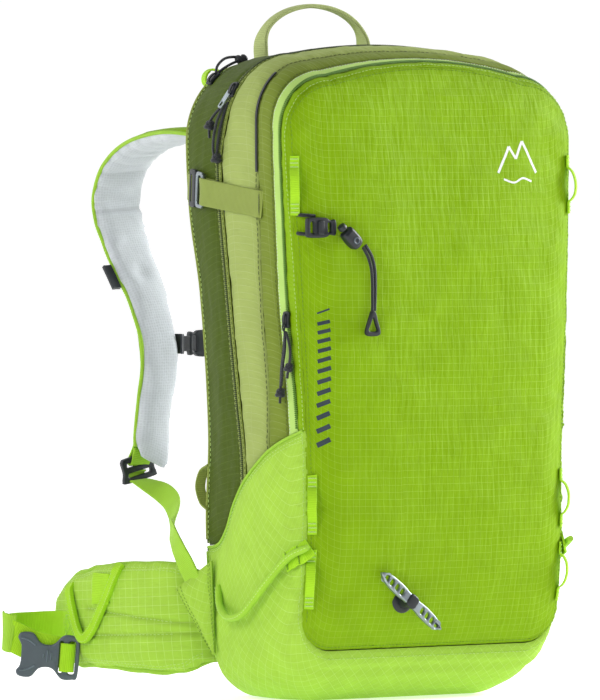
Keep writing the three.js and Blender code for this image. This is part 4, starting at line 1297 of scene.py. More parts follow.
def shoulder_strap(name, sign):
    ribbon = strap_ribbon(sign)
    total = ribbon.run[-1]

    def half_at(t):
        inner = mix(STRAP_HALF, 17.5, float(smooth((t - 0.60) / 0.14))) - 2.5 * float(smooth((t - 0.82) / 0.1))
        ends = 1 - 0.3 * (1 - min((1 - t) / 0.05, 1)) ** 2
        return (-inner * ends, STRAP_HALF * ends) if sign > 0 else (-STRAP_HALF * ends, inner * ends)

    def thick_at(t):
        return 8.6 * (0.55 + 0.45 * smooth(min(t, 1 - t) / 0.05))
    points, faces, _ = pad_lump(ribbon, half_at, thick_at, 36, 3.2)
    obj = make_object("pad_strap_" + name, points, faces, ["mesh"])
    inflate(obj, 5.0, voxel=4.5)
    p = points_of(obj)
    place = ribbon.locate(p)
    along, across, height = place.T
    inner = smooth((height + 1.0) / 3.5)
    pleat_zone = np.exp(-((along - 150) / 95) ** 2)
    wave = np.abs(np.sin(along / 5.4 + 0.8 * field(along / 60, across / 40, 51, 2)))
    pleats = (-3.0 * (1 - wave) ** 1.3 * pleat_zone * (0.7 + 0.3 * field(across / 16, along / 50, 52, 2))
              * (0.4 + 0.6 * smooth((across * sign + 20) / 30)))
    seam_at = np.abs(along - STRAP_BAR)
    bar = -2.2 * np.exp(-(seam_at / 3.0) ** 2)
    dimple = -3.0 * np.exp(-((along - 300) / 9) ** 2 - ((across * sign - 2) / 7) ** 2)
    soft = 0.8 * field(along / 30, across / 22, 53)
    edge_dip = -0.8 * np.exp(-((STRAP_HALF - 4.5 - across * sign) / 1.4) ** 2)
    moved = p + normals_of(obj) * ((pleats + bar + dimple + soft + edge_dip) * inner)[:, None]
    moved[:, 2] -= across * -sign * 0.4 * smooth((along - (total - 40)) / 40)
    set_points(obj, moved)
    centres = ribbon.locate(face_centres(obj))
    index = np.where(centres[:, 2] > -1.2, 0, 1)
    # The strap is painted darker along its rim and in the dip of its cross seam: painted shade.
    rim = np.clip(np.exp(-(STRAP_HALF - np.abs(across)) / 2.6), 0, 1)
    paint(obj, ["mesh", "lime"], np.column_stack([across, along]), np.maximum(rim, np.exp(-(seam_at / 2.2) ** 2)),
          index)
    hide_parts(f"shoulder_strap_{name}")
    settle_strap(obj)
    at = np.linspace(6, total - 10, 190)
    reach = rim_of(along, across * sign, at, 5.0)
    drop = reach * 0.4 * smooth((at - (total - 40)) / 40)
    edge = ribbon.place(at, sign * (reach - 0.6), -0.8) + np.column_stack([0 * at, 0 * at, drop])
    binding = join("strap_binding_" + name, [tube_lump(resample(edge, 2.4), 1.9, 8)], ["binding"])
    settle_strap(binding)
    return ribbon


def settle_strap(obj):
    """Bakes the strap's placement into its mesh."""
    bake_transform(obj)
    return obj


BELT_LINE = [(104, 90), (122, 96), (139, 112), (150, 140), (156, 175), (158, 215), (156, 250), (152, 285),
             (150, 306)]
BELT_TOP = profile([(88, 112), (110, 128), (150, 131), (215, 126), (262, 116), (290, 100), (306, 84)])
BELT_LOW = profile([(88, 30), (110, 14), (240, 12), (275, 16), (295, 30), (306, 44)])
BELT_MIDDLE = 70
BELT_CHANNELS = ((68.0, 76.0), (56.0, 50.0))


def hip_wing(name, sign):
    line = resample([(sign * x, y, BELT_MIDDLE) for x, y in BELT_LINE], 2.5)
    ribbon = Ribbon(line, (0, 0, 1))
    total = ribbon.run[-1]

    def half_at(t):
        y = np.interp(t * total, ribbon.run, line[:, 1])
        tip = 1 - 0.1 * (1 - min((1 - t) / 0.06, 1)) ** 2
        return ((float(BELT_LOW(y)) - BELT_MIDDLE + 1.5) * tip, (float(BELT_TOP(y)) - BELT_MIDDLE - 1.5) * tip)

    def thick_at(t):
        return 8.5 * (0.5 + 0.5 * smooth(min(t, 1 - t) / 0.06))
    points, faces, _ = pad_lump(ribbon, half_at, thick_at, 48, 3.6)
    obj = make_object("belt_wing_" + name, points, faces, ["belt"])
    inflate(obj, 5.0, voxel=5.0)
    p = points_of(obj)
    along, up, height = ribbon.locate(p).T
    outer = smooth((height * sign + 1.0) / 3.0)
    y, z = p[:, 1], p[:, 2]
    channels = np.zeros(len(p))
    for z_back, z_front in BELT_CHANNELS:
        level = mix(z_back, z_front, (y - 120) / 112)
        channels = np.maximum(channels, np.exp(-((z - level) / 2.0) ** 2) * smooth((238 - y) / 8))
    gathers = 0.9 * field(y / 5.0, z / 40, 61, 2) * np.clip(np.exp(-np.abs(z - 58) / 16)
                                                           + np.exp(-np.abs(z - BELT_LOW(y)) / 16), 0, 1)
    soft = 1.0 * field(y / 40, z / 26, 62)
    amount = (-2.3 * channels + gathers + soft) * outer
    p = p + normals_of(obj) * amount[:, None]
    p[:, 2] = np.maximum(p[:, 2], 2)
    set_points(obj, p)
    # The wing is painted darker along its rim and in its stitched channels: painted shade.
    low, high = BELT_LOW(y), BELT_TOP(y)
    rim = np.exp(-np.minimum(np.abs(z - low), np.abs(high - z)) / 2.5)
    centres = ribbon.locate(face_centres(obj))
    paint(obj, ["belt", "mesh"], np.column_stack([along, up]), np.maximum(rim, channels),
          np.where(centres[:, 2] * sign > -2.0, 0, 1))
    settle(obj, f"hip_wing_{name}", "lime_ripstop", f"hip_wing_{name}")
    tree = tree_of(obj)
    outward = np.array([sign, 0, 0])
    edges, threads = [], []
    stations = np.linspace(4, total - 3, 120)
    for offset in (-1, 1):
        ys, xs = (np.interp(stations, ribbon.run, line[:, k]) for k in (1, 0))
        level = BELT_MIDDLE - offset * rim_of(along, (p[:, 2] - BELT_MIDDLE) * -offset, stations, 4.0)
        edges.append(tube_lump(np.column_stack([xs, ys, level + offset * 1.2]), 2.2, 10))
        for inset in (4.6, 7.2):
            at, out = drape(tree, np.column_stack([xs + 0 * ys, ys, level + offset * inset]), -outward, 0.1)
            threads.append(seam_stitches(at, out, 2.6, 1.6, 0.5))
    for z_back, z_front in BELT_CHANNELS:
        ys = np.linspace(114, 234, 80)
        level = mix(z_back, z_front, (ys - 120) / 112)
        at, out = drape(tree, np.column_stack([np.full(80, sign * 155.0), ys, level]), -outward, 0.1)
        threads.append(seam_stitches(at, out, 2.8, 1.8, 0.6))
    settle(join("belt_binding_" + name, edges, ["binding"]), f"hip_wing_{name}", "lime_ripstop")
    settle(join("belt_stitching_" + name, threads, ["thread_pale"]), f"hip_wing_{name}", "lime_ripstop")
    return tree


def belt_fittings(name, sign, tree):
    """The belt's webbing, its fold keeper, the buckle half, the gear loop and a small webbing tab."""
    body = f"hip_wing_{name}"
    run = resample(flip(sign, [(163.6, 252, 58), (162.6, 264, 57.5), (161.2, 281, 56.5), (165.5, 298, 55.5),
                               (176, 309.5, 54.5), (193, 313.5, 54), (207, 308.5, 53), (214.5, 298, 52.5)]), 1.6)
    box = []
    for u, v in (((-8, -10), (8, -10)), ((8, -10), (8, 10)), ((8, 10), (-8, 10)), ((-8, 10), (-8, -10)),
                 ((-8, -10), (8, 10)), ((-8, 10), (8, -10))):
        ends = np.linspace(u, v, 16)
        x = np.interp(264 + ends[:, 0], (252, 264, 281), (164.6, 163.6, 162.2)) + 0.1
        box.append(seam_stitches(np.column_stack([sign * x, 264 + ends[:, 0], 57.5 + ends[:, 1]]),
                                 np.tile([sign, 0, 0], (16, 1)), 1.8, 1.0, 0.5))
    sewn("belt_webbing_" + name, [("lime_webbing", [webbing_lump(run, 29, 1.9, (0, 0, 1))]), ("thread_pale", box)],
         body, "lime_webbing", f"hip_webbing_{name}")

    buckle_body = f"hip_buckle_{name}"
    back = resample(flip(sign, [(214.8, 296, 52), (214, 287, 49), (206, 278, 43), (193, 268, 37), (176, 256, 32.5),
                                (169.5, 250.5, 31)]), 1.6)
    tail = webbing_lump(back, 29, 1.9, (0, 0.05, 1))
    across = unit(np.array([sign * 0.819, 0.574, 0.08]))
    up = np.array([0, 0, 1.0])
    up = unit(up - across * np.dot(up, across))
    face = np.cross(across, up)
    front = face if face[1] < 0 else -face
    centre = np.array([sign * 190.0, 262, 30])

    def local(u, v, h):
        return centre + across * u + up * v + front * h
    wrap = resample([local(-23.5, 0, -3.5), local(-24.5, 0, 1.5), local(-21, 0, 4.9), local(-16, 0, 5.0),
                     local(-12.2, 0, 2.5), local(-12.5, 0, -2.5)], 1.0)
    loop = webbing_lump(wrap, 27, 1.7, up)
    settle(join("belt_tail_" + name, [tail, loop], ["lime_webbing"]), buckle_body, "lime_webbing")
    ring_path = resample(flip(sign, [(213.4, 301.5, 54), (217.6, 296, 53), (217.4, 289, 51.5),
                                     (213.6, 284.8, 50.5)]), 1.0)
    settle(join("belt_keeper_" + name, [webbing_lump(ring_path, 36, 1.6, (0, 0, 1))], ["cover_webbing"]),
           buckle_body, "lime_webbing")
    half = [(29, 15.5), (26, 20.5), (15, 20.5), (8, 12.5), (0, 10.5), (-6, 12.5), (-14, 20.5), (-24, 20.5),
            (-29, 16.5)]
    shape = plan([*both_halves(half), (25.5, -9), (25.5, 9)], 1.6)
    slots = [rounded(-22.6, 0, 6.2, 31, 2.4), rounded(-12.4, 0, 3.6, 30, 1.7)]
    where = basis(centre, across, up)
    plate = moulded_piece("belt_buckle_" + name, [shape, *slots], 6.6, "slate", where, edge=1.6)
    ridges = []
    for x in (-3, 0.5, 4):
        bar = resample([(x, -6 + abs(x), 0), (x, 6 - abs(x), 0)], 1)
        points = np.array([local(p[0], p[1], 3.4) for p in bar])
        ridges.append(tube_lump(points, 0.8, 8))
    prongs = [tube_lump(np.array([local(x, side * v, 3.1) for x, v in ((12, 9.5), (17, 13), (22, 15), (26, 15.5))]),
                        1.1, 8) for side in (1, -1)]
    settle(merge("belt_buckle_" + name, [plate, join("belt_buckle_ribs_" + name, ridges + prongs, ["slate"])]),
           buckle_body, "slate_plastic", f"hip_buckle_{name}")

    gear = resample(flip(sign, [(162, 180, 119), (166.8, 182, 111), (169, 197, 85), (171, 215, 58),
                                (171.8, 230, 47.5), (170.5, 244, 59), (167.2, 260, 88), (162, 263, 97)]), 1.8)
    away = np.array([sign, 0, 0])
    gear_side = unit(np.cross(np.gradient(gear, axis=0), away))
    loop = webbing_lump(gear, 9.5, 4.2, gear_side)
    rows = [seam_stitches((gear + gear_side * k * 3.2 + away * 2.15)[6:-6], np.tile(away, (len(gear) - 12, 1)),
                          1.8, 1.2, 0.5) for k in (1, -1)]
    sewn("gear_loop_web_" + name, [("lime_webbing", [loop]), ("thread_pale", rows)], body, "lime_webbing",
         f"gear_loop_{name}")
    tab_points = np.column_stack([np.full(16, sign * 160.0), np.full(16, 205.0), np.linspace(109, 81, 16)])
    at, _ = drape(tree, tab_points, (-sign, 0, 0), 1.6)
    tab = webbing_lump(resample(at, 1.5), 27, 1.6, (0, 1, 0))
    settle(join("belt_tab_" + name, [tab], ["lime_webbing"]), body, "lime_webbing")


# ---------- strap hardware ----------

def strap_fittings(name, sign, ribbon):
    """Ladder lock, lower webbing, sternum buckle and small keepers."""
    body = f"shoulder_strap_{name}"
    lock_body = f"ladder_lock_{name}"
    where = basis((sign * 89, 260, 205), (1, 0, -sign * 0.25), (sign * 0.25, -0.1, 1))
    outer = plan([(-17, 12), (17, 12), (19, 9), (17.5, -2), (19, -9), (16, -12), (-16, -12), (-19, -9), (-17.5, -2),
                  (-19, 9)], 1.2)
    lock = moulded_piece("ladder_frame_" + name, [outer, rounded(0, 5, 26, 4.5, 1.6), rounded(0, -5, 26, 4.5, 1.6)],
                         4.6, "black", where, edge=1.1)
    settle(lock, lock_body, "black_plastic", f"ladder_lock_{name}")
    top = resample(flip(sign, [(82, 256, 240), (86, 258.3, 224), (88, 262.6, 214), (88.3, 263.6, 210),
                               (88.6, 260, 207.5), (88, 257, 211), (86, 256.2, 222)]), 1.4)
    lower = resample(flip(sign, [(89.4, 260, 202.5), (89.6, 263.4, 200.5), (89.6, 262.4, 194), (89.2, 254, 192.5),
                                 (88.8, 240, 189), (88.6, 222, 184), (91, 203, 177), (98, 186, 169),
                                 (110, 168, 160), (120, 155, 154), (127, 147, 152)]), 1.8)
    share = run_along(lower) / run_along(lower)[-1]
    turn = flip(-sign, [(1, 0, 0), (1, 0, 0.1), (0.54, -0.38, 0.75), (0.3, -0.2, 1), (0, 0, 1)])
    side = sample(share, (0, 0.12, 0.45, 0.8, 1), np.array(turn))
    pieces = [webbing_lump(top, 21, 1.7, (1, 0, 0)), webbing_lump(lower, 20, 1.8, side)]
    settle(join("strap_web_" + name, pieces, ["cover_webbing"]), body, "lime_webbing", f"strap_webbing_{name}")

    # The sternum strap's half: a side-release body that slides on the strap's inner edge.
    at = (sign * 22, 252, 322)
    where = basis(at, (sign, 0, 0), (0, 0, 1))
    shape = plan(both_halves([(-15, 9), (-11, 12.5), (4, 12.5), (9, 10), (15, 10)]), 1.2)
    buckle = moulded_piece("sternum_half_" + name, [shape, rounded(9, 0, 4, 15, 1.6)], 7.0, "black", where,
                           edge=1.7)
    ribs = [tube_lump(resample([(sign * (22 + x), 252 + k * 3.4, z) for z in (316, 328)], 1.2), 0.8, 8)
            for x in (-9, -5.5, -2) for k in (1, -1)]
    web = webbing_lump(resample(flip(sign, [(30.5, 249.5, 322), (38, 249.6, 322), (48, 249.4, 322),
                                            (56, 248.6, 322)]), 1.2), 14.5, 1.6, (0, 0, 1))
    slide = webbing_lump(resample(flip(sign, [(54.2, 238.5, 322), (50.4, 241, 322), (49.8, 247, 322),
                                              (54.2, 249.5, 322)]), 1.0), 19, 2.0, (0, 0, 1))
    settle(merge("sternum_half_" + name, [buckle, join("sternum_ribs_" + name, ribs, ["black"]),
                                          join("sternum_web_" + name, [web], ["cord"]),
                                          join("sternum_slide_" + name, [slide], ["black"])]),
           f"sternum_buckle_{name}", "black_plastic", f"sternum_buckle_{name}")

    # The keeper on the strap's outer edge, where a load lifter or a tube clips on.
    place = ribbon.place(np.linspace(284, 310, 12), 31.0 * sign, np.zeros(12))
    keeper = webbing_lump(place, 9, 3.6, (1, 0, 0))
    settle(join("strap_keeper_" + name, [keeper], ["black"]), body, "black_plastic")
    k = int(STRAP_BAR / STRAP_PITCH)
    bar = bartack_lump(ribbon.place(STRAP_BAR, sign * 10.0, 3.6), ribbon.side[k], ribbon.tangent[k],
                       ribbon.normal[k], 14, 2.4, 0.9)
    settle(join("strap_bar_stitch_" + name, [bar], ["thread_dark"]), body, "mesh_foam")


def strap_anchor(name, sign):
    """A doubled patch of cover cloth sewn to the bag, which carries the strap's lower webbing."""
    corners = np.array(flip(sign, [(146, 54, 127), (155, 101, 99), (142, 54, 36)]))
    top = mix(corners[0], corners[1], np.linspace(0, 1, 22)[:, None])
    skin = Skin(mix(top[None], mix(corners[2], top, 0.06)[None], np.linspace(0, 1, 26)[:, None, None]))
    grid = skin.points
    skin.face((sign, 0.35, 0))
    wave = 1.6 * field(grid[..., 1] / 14, grid[..., 2] / 22, 71 + sign)
    dome = 2.5 * np.clip(skin.edge / 12, 0, 1)
    skin.points = skin.points + np.array([sign, 0.1, 0]) * (wave * np.clip(skin.edge / 5, 0, 1) + dome)[..., None]
    outward = skin.normals.copy()
    skin.measure()
    skin.face(outward)
    threads = [seam_stitches(*skin.column(c, 0.2), 2.4, 1.4, 0.5) for c in (1, 2, -2, -4)]
    shell_piece("anchor_patch_" + name, skin, "cover", "pack", "lime_cover", f"strap_anchor_{name}", thick=1.8,
                extras=[("thread_lime", threads)])
    stub = resample(flip(sign, [(149.4, 77, 106), (151.6, 83, 117), (154, 92, 131), (152.6, 104, 143),
                                (147, 117, 150), (139, 131, 153), (129, 145, 152.4)]), 1.8)
    web = webbing_lump(stub, 20, 1.9, np.linspace((0, -0.5, 1), (0, 0, 1), len(stub)))
    settle(join("anchor_web_" + name, [web], ["cover_webbing"]), "pack", "lime_webbing")


# ---------- loops and straps on the bag ----------

def haul_loop():
    t = np.linspace(0, math.pi, 60)
    arch = np.column_stack([-58.5 * np.cos(t), np.full(60, 100.0), 603 + 37 * np.sin(t)])
    foot = [np.array([(s * 58.2, 99.0, 588.5), (s * 58.6, 99.8, 597.0)]) for s in (-1, 1)]
    path = resample(np.vstack([foot[0], arch, foot[1][::-1]]), 2.0)
    width = 20 - 8.5 * smooth((path[:, 2] - 600) / 24)
    loop = webbing_lump(path, width, 3.4, (0, 1, 0), sag=0.9)
    obj = join("haul_loop_web", [loop], ["haul_webbing"])
    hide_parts("haul_loop")
    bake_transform(obj)


def compression_strap(name, sign):
    """Webbing over the main zip: sewn at the front, threaded through a metal frame at the back."""
    x_out = float(half_width(MIDDLE.depth, 470)) + 2.0

    def level(y):
        return mix(457, 468, (y + 44) / 100)
    front_x = side_x(-47, 456) + 1.4
    line = [(x, y, level(y)) for x, y in ((front_x, -47), (front_x + 1.6, -43), (x_out + 0.4, -30),
                                          (x_out + 0.6, -5), (x_out + 0.2, 20), (x_out + 0.2, 44))]
    line += [(x_out - 0.2, 51, 467.6), (x_out - 1.8, 55.4, 468.2), (x_out - 4.0, 55.4, 468.2)]
    strap = webbing_lump(resample(flip(sign, line), 1.6), 25, 1.9, (0, 0, 1), sag=0.4)
    under = resample(flip(sign, [(x_out - 5.6, 52.5, 468), (x_out - 5.2, 44, 467), (x_out - 3.6, 30, 465.5),
                                 (x_out - 2.9, 22, 464.6)]), 1.8)
    tail = webbing_lump(under, 25, 1.6, (0, 0, 1))
    tacks = [bartack_lump((sign * (front_x + 1.9), -44, level(-44)), (0, 0, 1), (0, 1, 0), (sign, 0, 0), 22, 2.0)]
    sewn("compression_web_" + name, [("olive_webbing", [strap, tail]), ("thread_dark", tacks)], "pack",
         "olive_webbing", f"compression_strap_{name}")
    clip = moulded_piece("compression_clip_" + name, [rounded(0, 0, 17, 31, 3)], 2.6, "black",
                         basis((sign * (x_out - 4.8), 13, 463.5), (0, 1, 0.1), (0, 0, 1)), edge=0.9)
    settle(clip, "pack", "black_plastic")
    middle = (sign * (side_x(67, 470) + 5.8), 67, 470)
    across, up = (sign * -0.24, 1, 0.1), (0, 0, 1)
    where = basis(middle, across, up)
    wire = moulded_piece("hook_frame_" + name, [rounded(-8.0, 0, 17, 33.5, 4.5), rounded(-8.0, 0, 9.6, 26.5, 3.0)],
                         3.4, "metal", where, edge=1.2)
    plate = moulded_piece("hook_plate_" + name, [rounded(8.6, 0, 14.5, 35, 3.2), rounded(11.0, 0, 3.0, 25, 1.2)],
                          3.6, "black", where, edge=1.0)
    settle(merge("hook_" + name, [wire, plate]), f"compression_hook_{name}", "black_plastic",
           f"compression_hook_{name}")
    back_y = float(BACK_EDGE.y(470))
    path = resample(flip(sign, [(side_x(78, 470) + 5.6, 78.5, 470.5), (side_x(84, 470) + 4.6, 84, 471),
                                (side_x(92, 471) + 2.6, 92, 471.5), (138.5, back_y + 3.0, 472),
                                (131, back_y + 4.2, 472), (122, back_y + 4.0, 472)]), 1.6)
    settle(join("compression_root_" + name, [webbing_lump(path, 25, 1.9, (0, 0, 1))], ["olive_webbing"]),
           "back_door", "olive_webbing")


SKI_LOOP = [(46, 104), (36, 88), (20, 80), (2, 77), (-23, 84), (-56, 112), (-83, 136), (-105, 146)]


def ski_loop(name, sign):
    line = []
    for i, (y, z) in enumerate(SKI_LOOP):
        share = i / (len(SKI_LOOP) - 1)
        line.append((sign * (side_x(y, z) + 4.2 + 9.5 * math.sin(share * math.pi)), y, z))
    path = resample(line, 1.8)
    run = run_along(path)
    radius = 3.5 * (1 - 0.25 * np.exp(-run / 5) - 0.25 * np.exp(-(run[-1] - run) / 5))
    tube = tube_lump(path, radius, 14)
    _, side, normal = frames(path, (sign, 0, 0))
    seam = seam_stitches(path + side * 3.3 + normal * 0.8, side, 2.6, 1.4, 0.6)
    sewn("ski_loop_web_" + name, [("cover_webbing", [tube]), ("thread_pale", [seam])], f"ski_loop_{name}",
         "lime_webbing", f"ski_loop_{name}")
    tab_path = np.linspace((sign * 150, -74, 131), (sign * 150, -95, 141), 14)
    at, _ = drape(TREES["cover"], tab_path, (-sign, 0, 0), 1.5)
    to_loop = np.vstack([at, np.array(line[-1:]) + [-sign * 6, 4, 0]])
    tab = webbing_lump(resample(to_loop, 1.4), 18, 2.2, (0, 0.35, 1))
    tacks = [bartack_lump(at[k] + [sign * 1.4, 0, 0], (0, 0.3, 1), (0, 1, -0.3), (sign, 0, 0), 16, 1.8)
             for k in (2, 10)]
    sewn("ski_tab_" + name, [("lime_webbing", [tab]), ("thread_lime", tacks)], "pack", "lime_webbing")


LASH_STAND = 7.5
LASH_HEIGHTS = {"upper": 474, "middle": 184, "lower": 116}


def lash_loop(name, sign, level, height):
    x = sign * (float(half_width(0, height)) - 4.5)
    across, out = np.array([sign * 0.7, 0.7, 0]), np.array([sign * 0.7, -0.7, 0])
    line = np.linspace((x, -100, height + 27), (x, -100, height - 27), 60)
    zs = line[:, 2]
    at, _ = drape(TREES["front"], line, (0, 1, 0), 1.1)
    stand = LASH_STAND * np.clip(1 - ((zs - height) / 15.5) ** 2, 0, 1) ** 0.6
    path = at + np.array([sign * 0.6, -0.8, 0]) * stand[:, None]
    web = webbing_lump(resample(path, 1.3), 8.5, 1.5, across)
    tacks = []
    for dz in (24.5, 20.5, 17.0, -17.0, -20.5, -24.5):
        k = int(np.argmin(np.abs(zs - (height + dz))))
        tacks.append(bartack_lump(path[k] + out, across, (0, 0, 1), out, 7.4, 1.3, 0.7))
    sewn(f"lash_web_{level}_{name}", [("lime_webbing", [web]), ("thread_pale", tacks)],
         "front_flap" if level == "upper" else "pack", "lime_webbing", f"lash_loop_{level}_{name}")


# ---------- zip sliders and cords ----------

PULL_DIAMETER = 2.6
AXE_CORD_DIAMETER = 3.0


def knot_lump(centre, along, size):
    """A small overhand knot: a cord wound round itself, with its end coming out."""
    centre, along = np.asarray(centre, float), unit(np.asarray(along, float))
    side = unit(np.cross(along, [0.3, 0.9, 0.2]))
    other = np.cross(along, side)
    t = np.linspace(0, 2 * math.pi * 1.9, 60)
    radius = size * (0.72 + 0.16 * np.sin(t * 1.5))
    points = (centre + side * (radius * np.cos(t))[:, None] + other * (radius * np.sin(t))[:, None]
              + along * (size * 0.62 * np.sin(t * 0.75 + 0.6))[:, None])
    core = tube_lump(centre + along * np.linspace(-size, size, 10)[:, None], size * 0.62, 10)
    return [tube_lump(points, size * 0.5, 9), core]


def slider_piece(name, centre, up, out):
    """A zip slider: a waisted body with a raised bridge that the pull hangs from."""
    shape = plan([(-4.5, 6.5), (0, 7.8), (4.5, 6.5), (3.4, 0), (4.0, -6.5), (0, -7.4), (-4.0, -6.5), (-3.4, 0)],
                 0.9)
    plate = moulded_piece(name + "_plate", [shape], 3.0, "black", basis(centre, (0, 1, 0), up), edge=1.0)
    centre, up, out = np.asarray(centre, float), unit(np.asarray(up, float)), unit(np.asarray(out, float))
    bridge = resample([centre + up * 5.5 + out * 1.0, centre + up * 4.5 + out * 3.0, centre + out * 3.7,
                       centre - up * 4.5 + out * 3.0, centre - up * 5.5 + out * 1.0], 0.8)
    side = np.cross(up, out)
    return merge(name, [plate, join(name + "_bridge", [webbing_lump(bridge, 3.0, 1.3, side)], ["black"])])


def pull_cord(name, body, node, line, knot_at, knot_size, extra):
    """A pull: one measured cord with its end knot, and beside it the other strands of its loop."""
    path = resample(line, 1.2)
    cord = join(name, [tube_lump(path, PULL_DIAMETER / 2, 10)], ["cord"])
    knots = join(name + "_knot", [*knot_lump(path[knot_at], path[knot_at] - path[knot_at - 1], knot_size), *extra],
                 ["cord"])
    for obj in (cord, knots):
        settle(obj, body, "black_cord")
    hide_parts(node)
    run_along(path)[-1] * MM


def strand_lump(points):
    return tube_lump(resample(points, 1.2), PULL_DIAMETER / 2, 9)


def knotted_end(points, size, *tips):
    """A short free end of a pull: its cord, its knot and the tip that comes out of the knot."""
    path = resample(points, 1.2)
    end = path[-1]
    return [tube_lump(path, PULL_DIAMETER / 2, 9), *knot_lump(end, end - path[-3], size),
            strand_lump([end, *[end + tip for tip in tips]])]


def on_top(depth, degrees, y, stand):
    """A point on the rounded upper left corner, so many degrees above its side, standing off the fabric."""
    radius = float(TOP_RADIUS(depth))
    flat = float(half_width(depth, side_top(depth))) - radius
    turn = math.radians(degrees)
    return (-(flat + (radius + stand) * math.cos(turn)), y,
            float(side_top(depth)) + (radius + stand) * math.sin(turn))


def zip_pulls():
    x = -(float(half_width(0.08, 352)) + 2.7)
    slider = slider_piece("front_slider", (x, -80.5, 352), (0, 0, 1), (-1, 0, 0))
    ring = resample([(x - 3.4, -81, 351), (x - 4.8, -80.8, 346), (x - 3.6, -81, 342), (x - 2.2, -80.4, 346),
                     (x - 3.4, -81, 351)], 0.8)
    ring_obj = join("front_slider_ring", [tube_lump(ring, 0.8, 8)], ["black"])
    settle(merge("front_slider", [slider, ring_obj]), "front_zip_slider", "black_plastic", "front_zip_slider")
    x2 = x - 2.2
    line = [(x2, -81, 342), (x2, -79, 325), (x2 - 0.3, -76, 308), (x2, -74, 290), (x2, -73, 276)]
    strand = strand_lump([(x2 - 0.6, -81.5, 341.5), (x2 - 1.4, -83.0, 327), (x2 - 1.2, -79, 309),
                          (x2 - 0.4, -76.4, 297), (x2, -75, 292)])
    second = knotted_end([(x2 + 0.4, -82, 341), (x2 - 0.5, -88.5, 330), (x2 - 0.5, -90, 319),
                          (x2 - 0.2, -87, 309)], 3.3, (0, 1.4, -6), (0, 2.2, -10))
    pull_cord("front_pull_cord", "front_zip_pull", "front_zip_pull", line, -9, 3.7, [strand, *second])

    slider = slider_piece("main_slider_side", on_top(0.55, 28, 11, 2.6), (0.47, 0, 0.88), (-0.88, 0, 0.47))
    tab = moulded_piece("main_puller", [rounded(0, 0, 5.6, 20, 2.2), rounded(0, -5.6, 2.6, 4.2, 1.2)], 2.0, "metal",
                        basis((-158.0, 14.5, 553), (0, 0.9, 0.3), (0.45, -0.3, 0.85)), edge=0.7)
    settle(merge("main_slider_side", [slider, tab]), "main_zip_slider_side", "black_plastic",
           "main_zip_slider_side")
    line = [(-156, 13, 550), (-159, 16, 537), (-161, 19, 523), (-161.4, 22, 508), (-161.4, 24, 494)]
    second = knotted_end([(-157, 16, 548), (-160.6, 24, 541), (-163, 29.5, 534), (-163.4, 31.5, 529)], 3.7,
                         (0.2, 0.8, -6), (0.4, 0.6, -12))
    strand = strand_lump([(-158.4, 14, 549), (-163, 19, 534), (-164.4, 23, 519), (-163.4, 25.5, 506),
                          (-162, 25, 499)])
    pull_cord("main_pull_cord_side", "main_zip_pull_side", "main_zip_pull_side", line, -5, 3.9,
              [*second, strand])

    slider = slider_piece("rear_slider", on_top(0.92, 48, 85, 3.4), (0.743, 0, 0.669), (-0.669, 0, 0.743))
    settle(slider, "rear_zip_slider", "black_plastic", "rear_zip_slider")
    line = [on_top(0.92, degrees, 85, 4.2) for degrees in (54, 60, 67, 74, 81)]
    back = [on_top(0.92, *at) for at in ((52, 85, 5), (58, 88, 9), (66, 89, 10.5), (74, 88, 8), (79, 86, 5))]
    pull_cord("rear_pull_cord", "rear_zip_slider", "rear_zip_pull", line, -6, 4.2, [strand_lump(back)])


# ---------- ice axe holder ----------

AXE_X, AXE_Z, TOGGLE_X, TOGGLE_Z = -122, 436, -42, 94


def panel_face(x, z):
    return float(FRONT_EDGE.y(z) - panel_bulge(x / half_width(0, z), z)) - 1


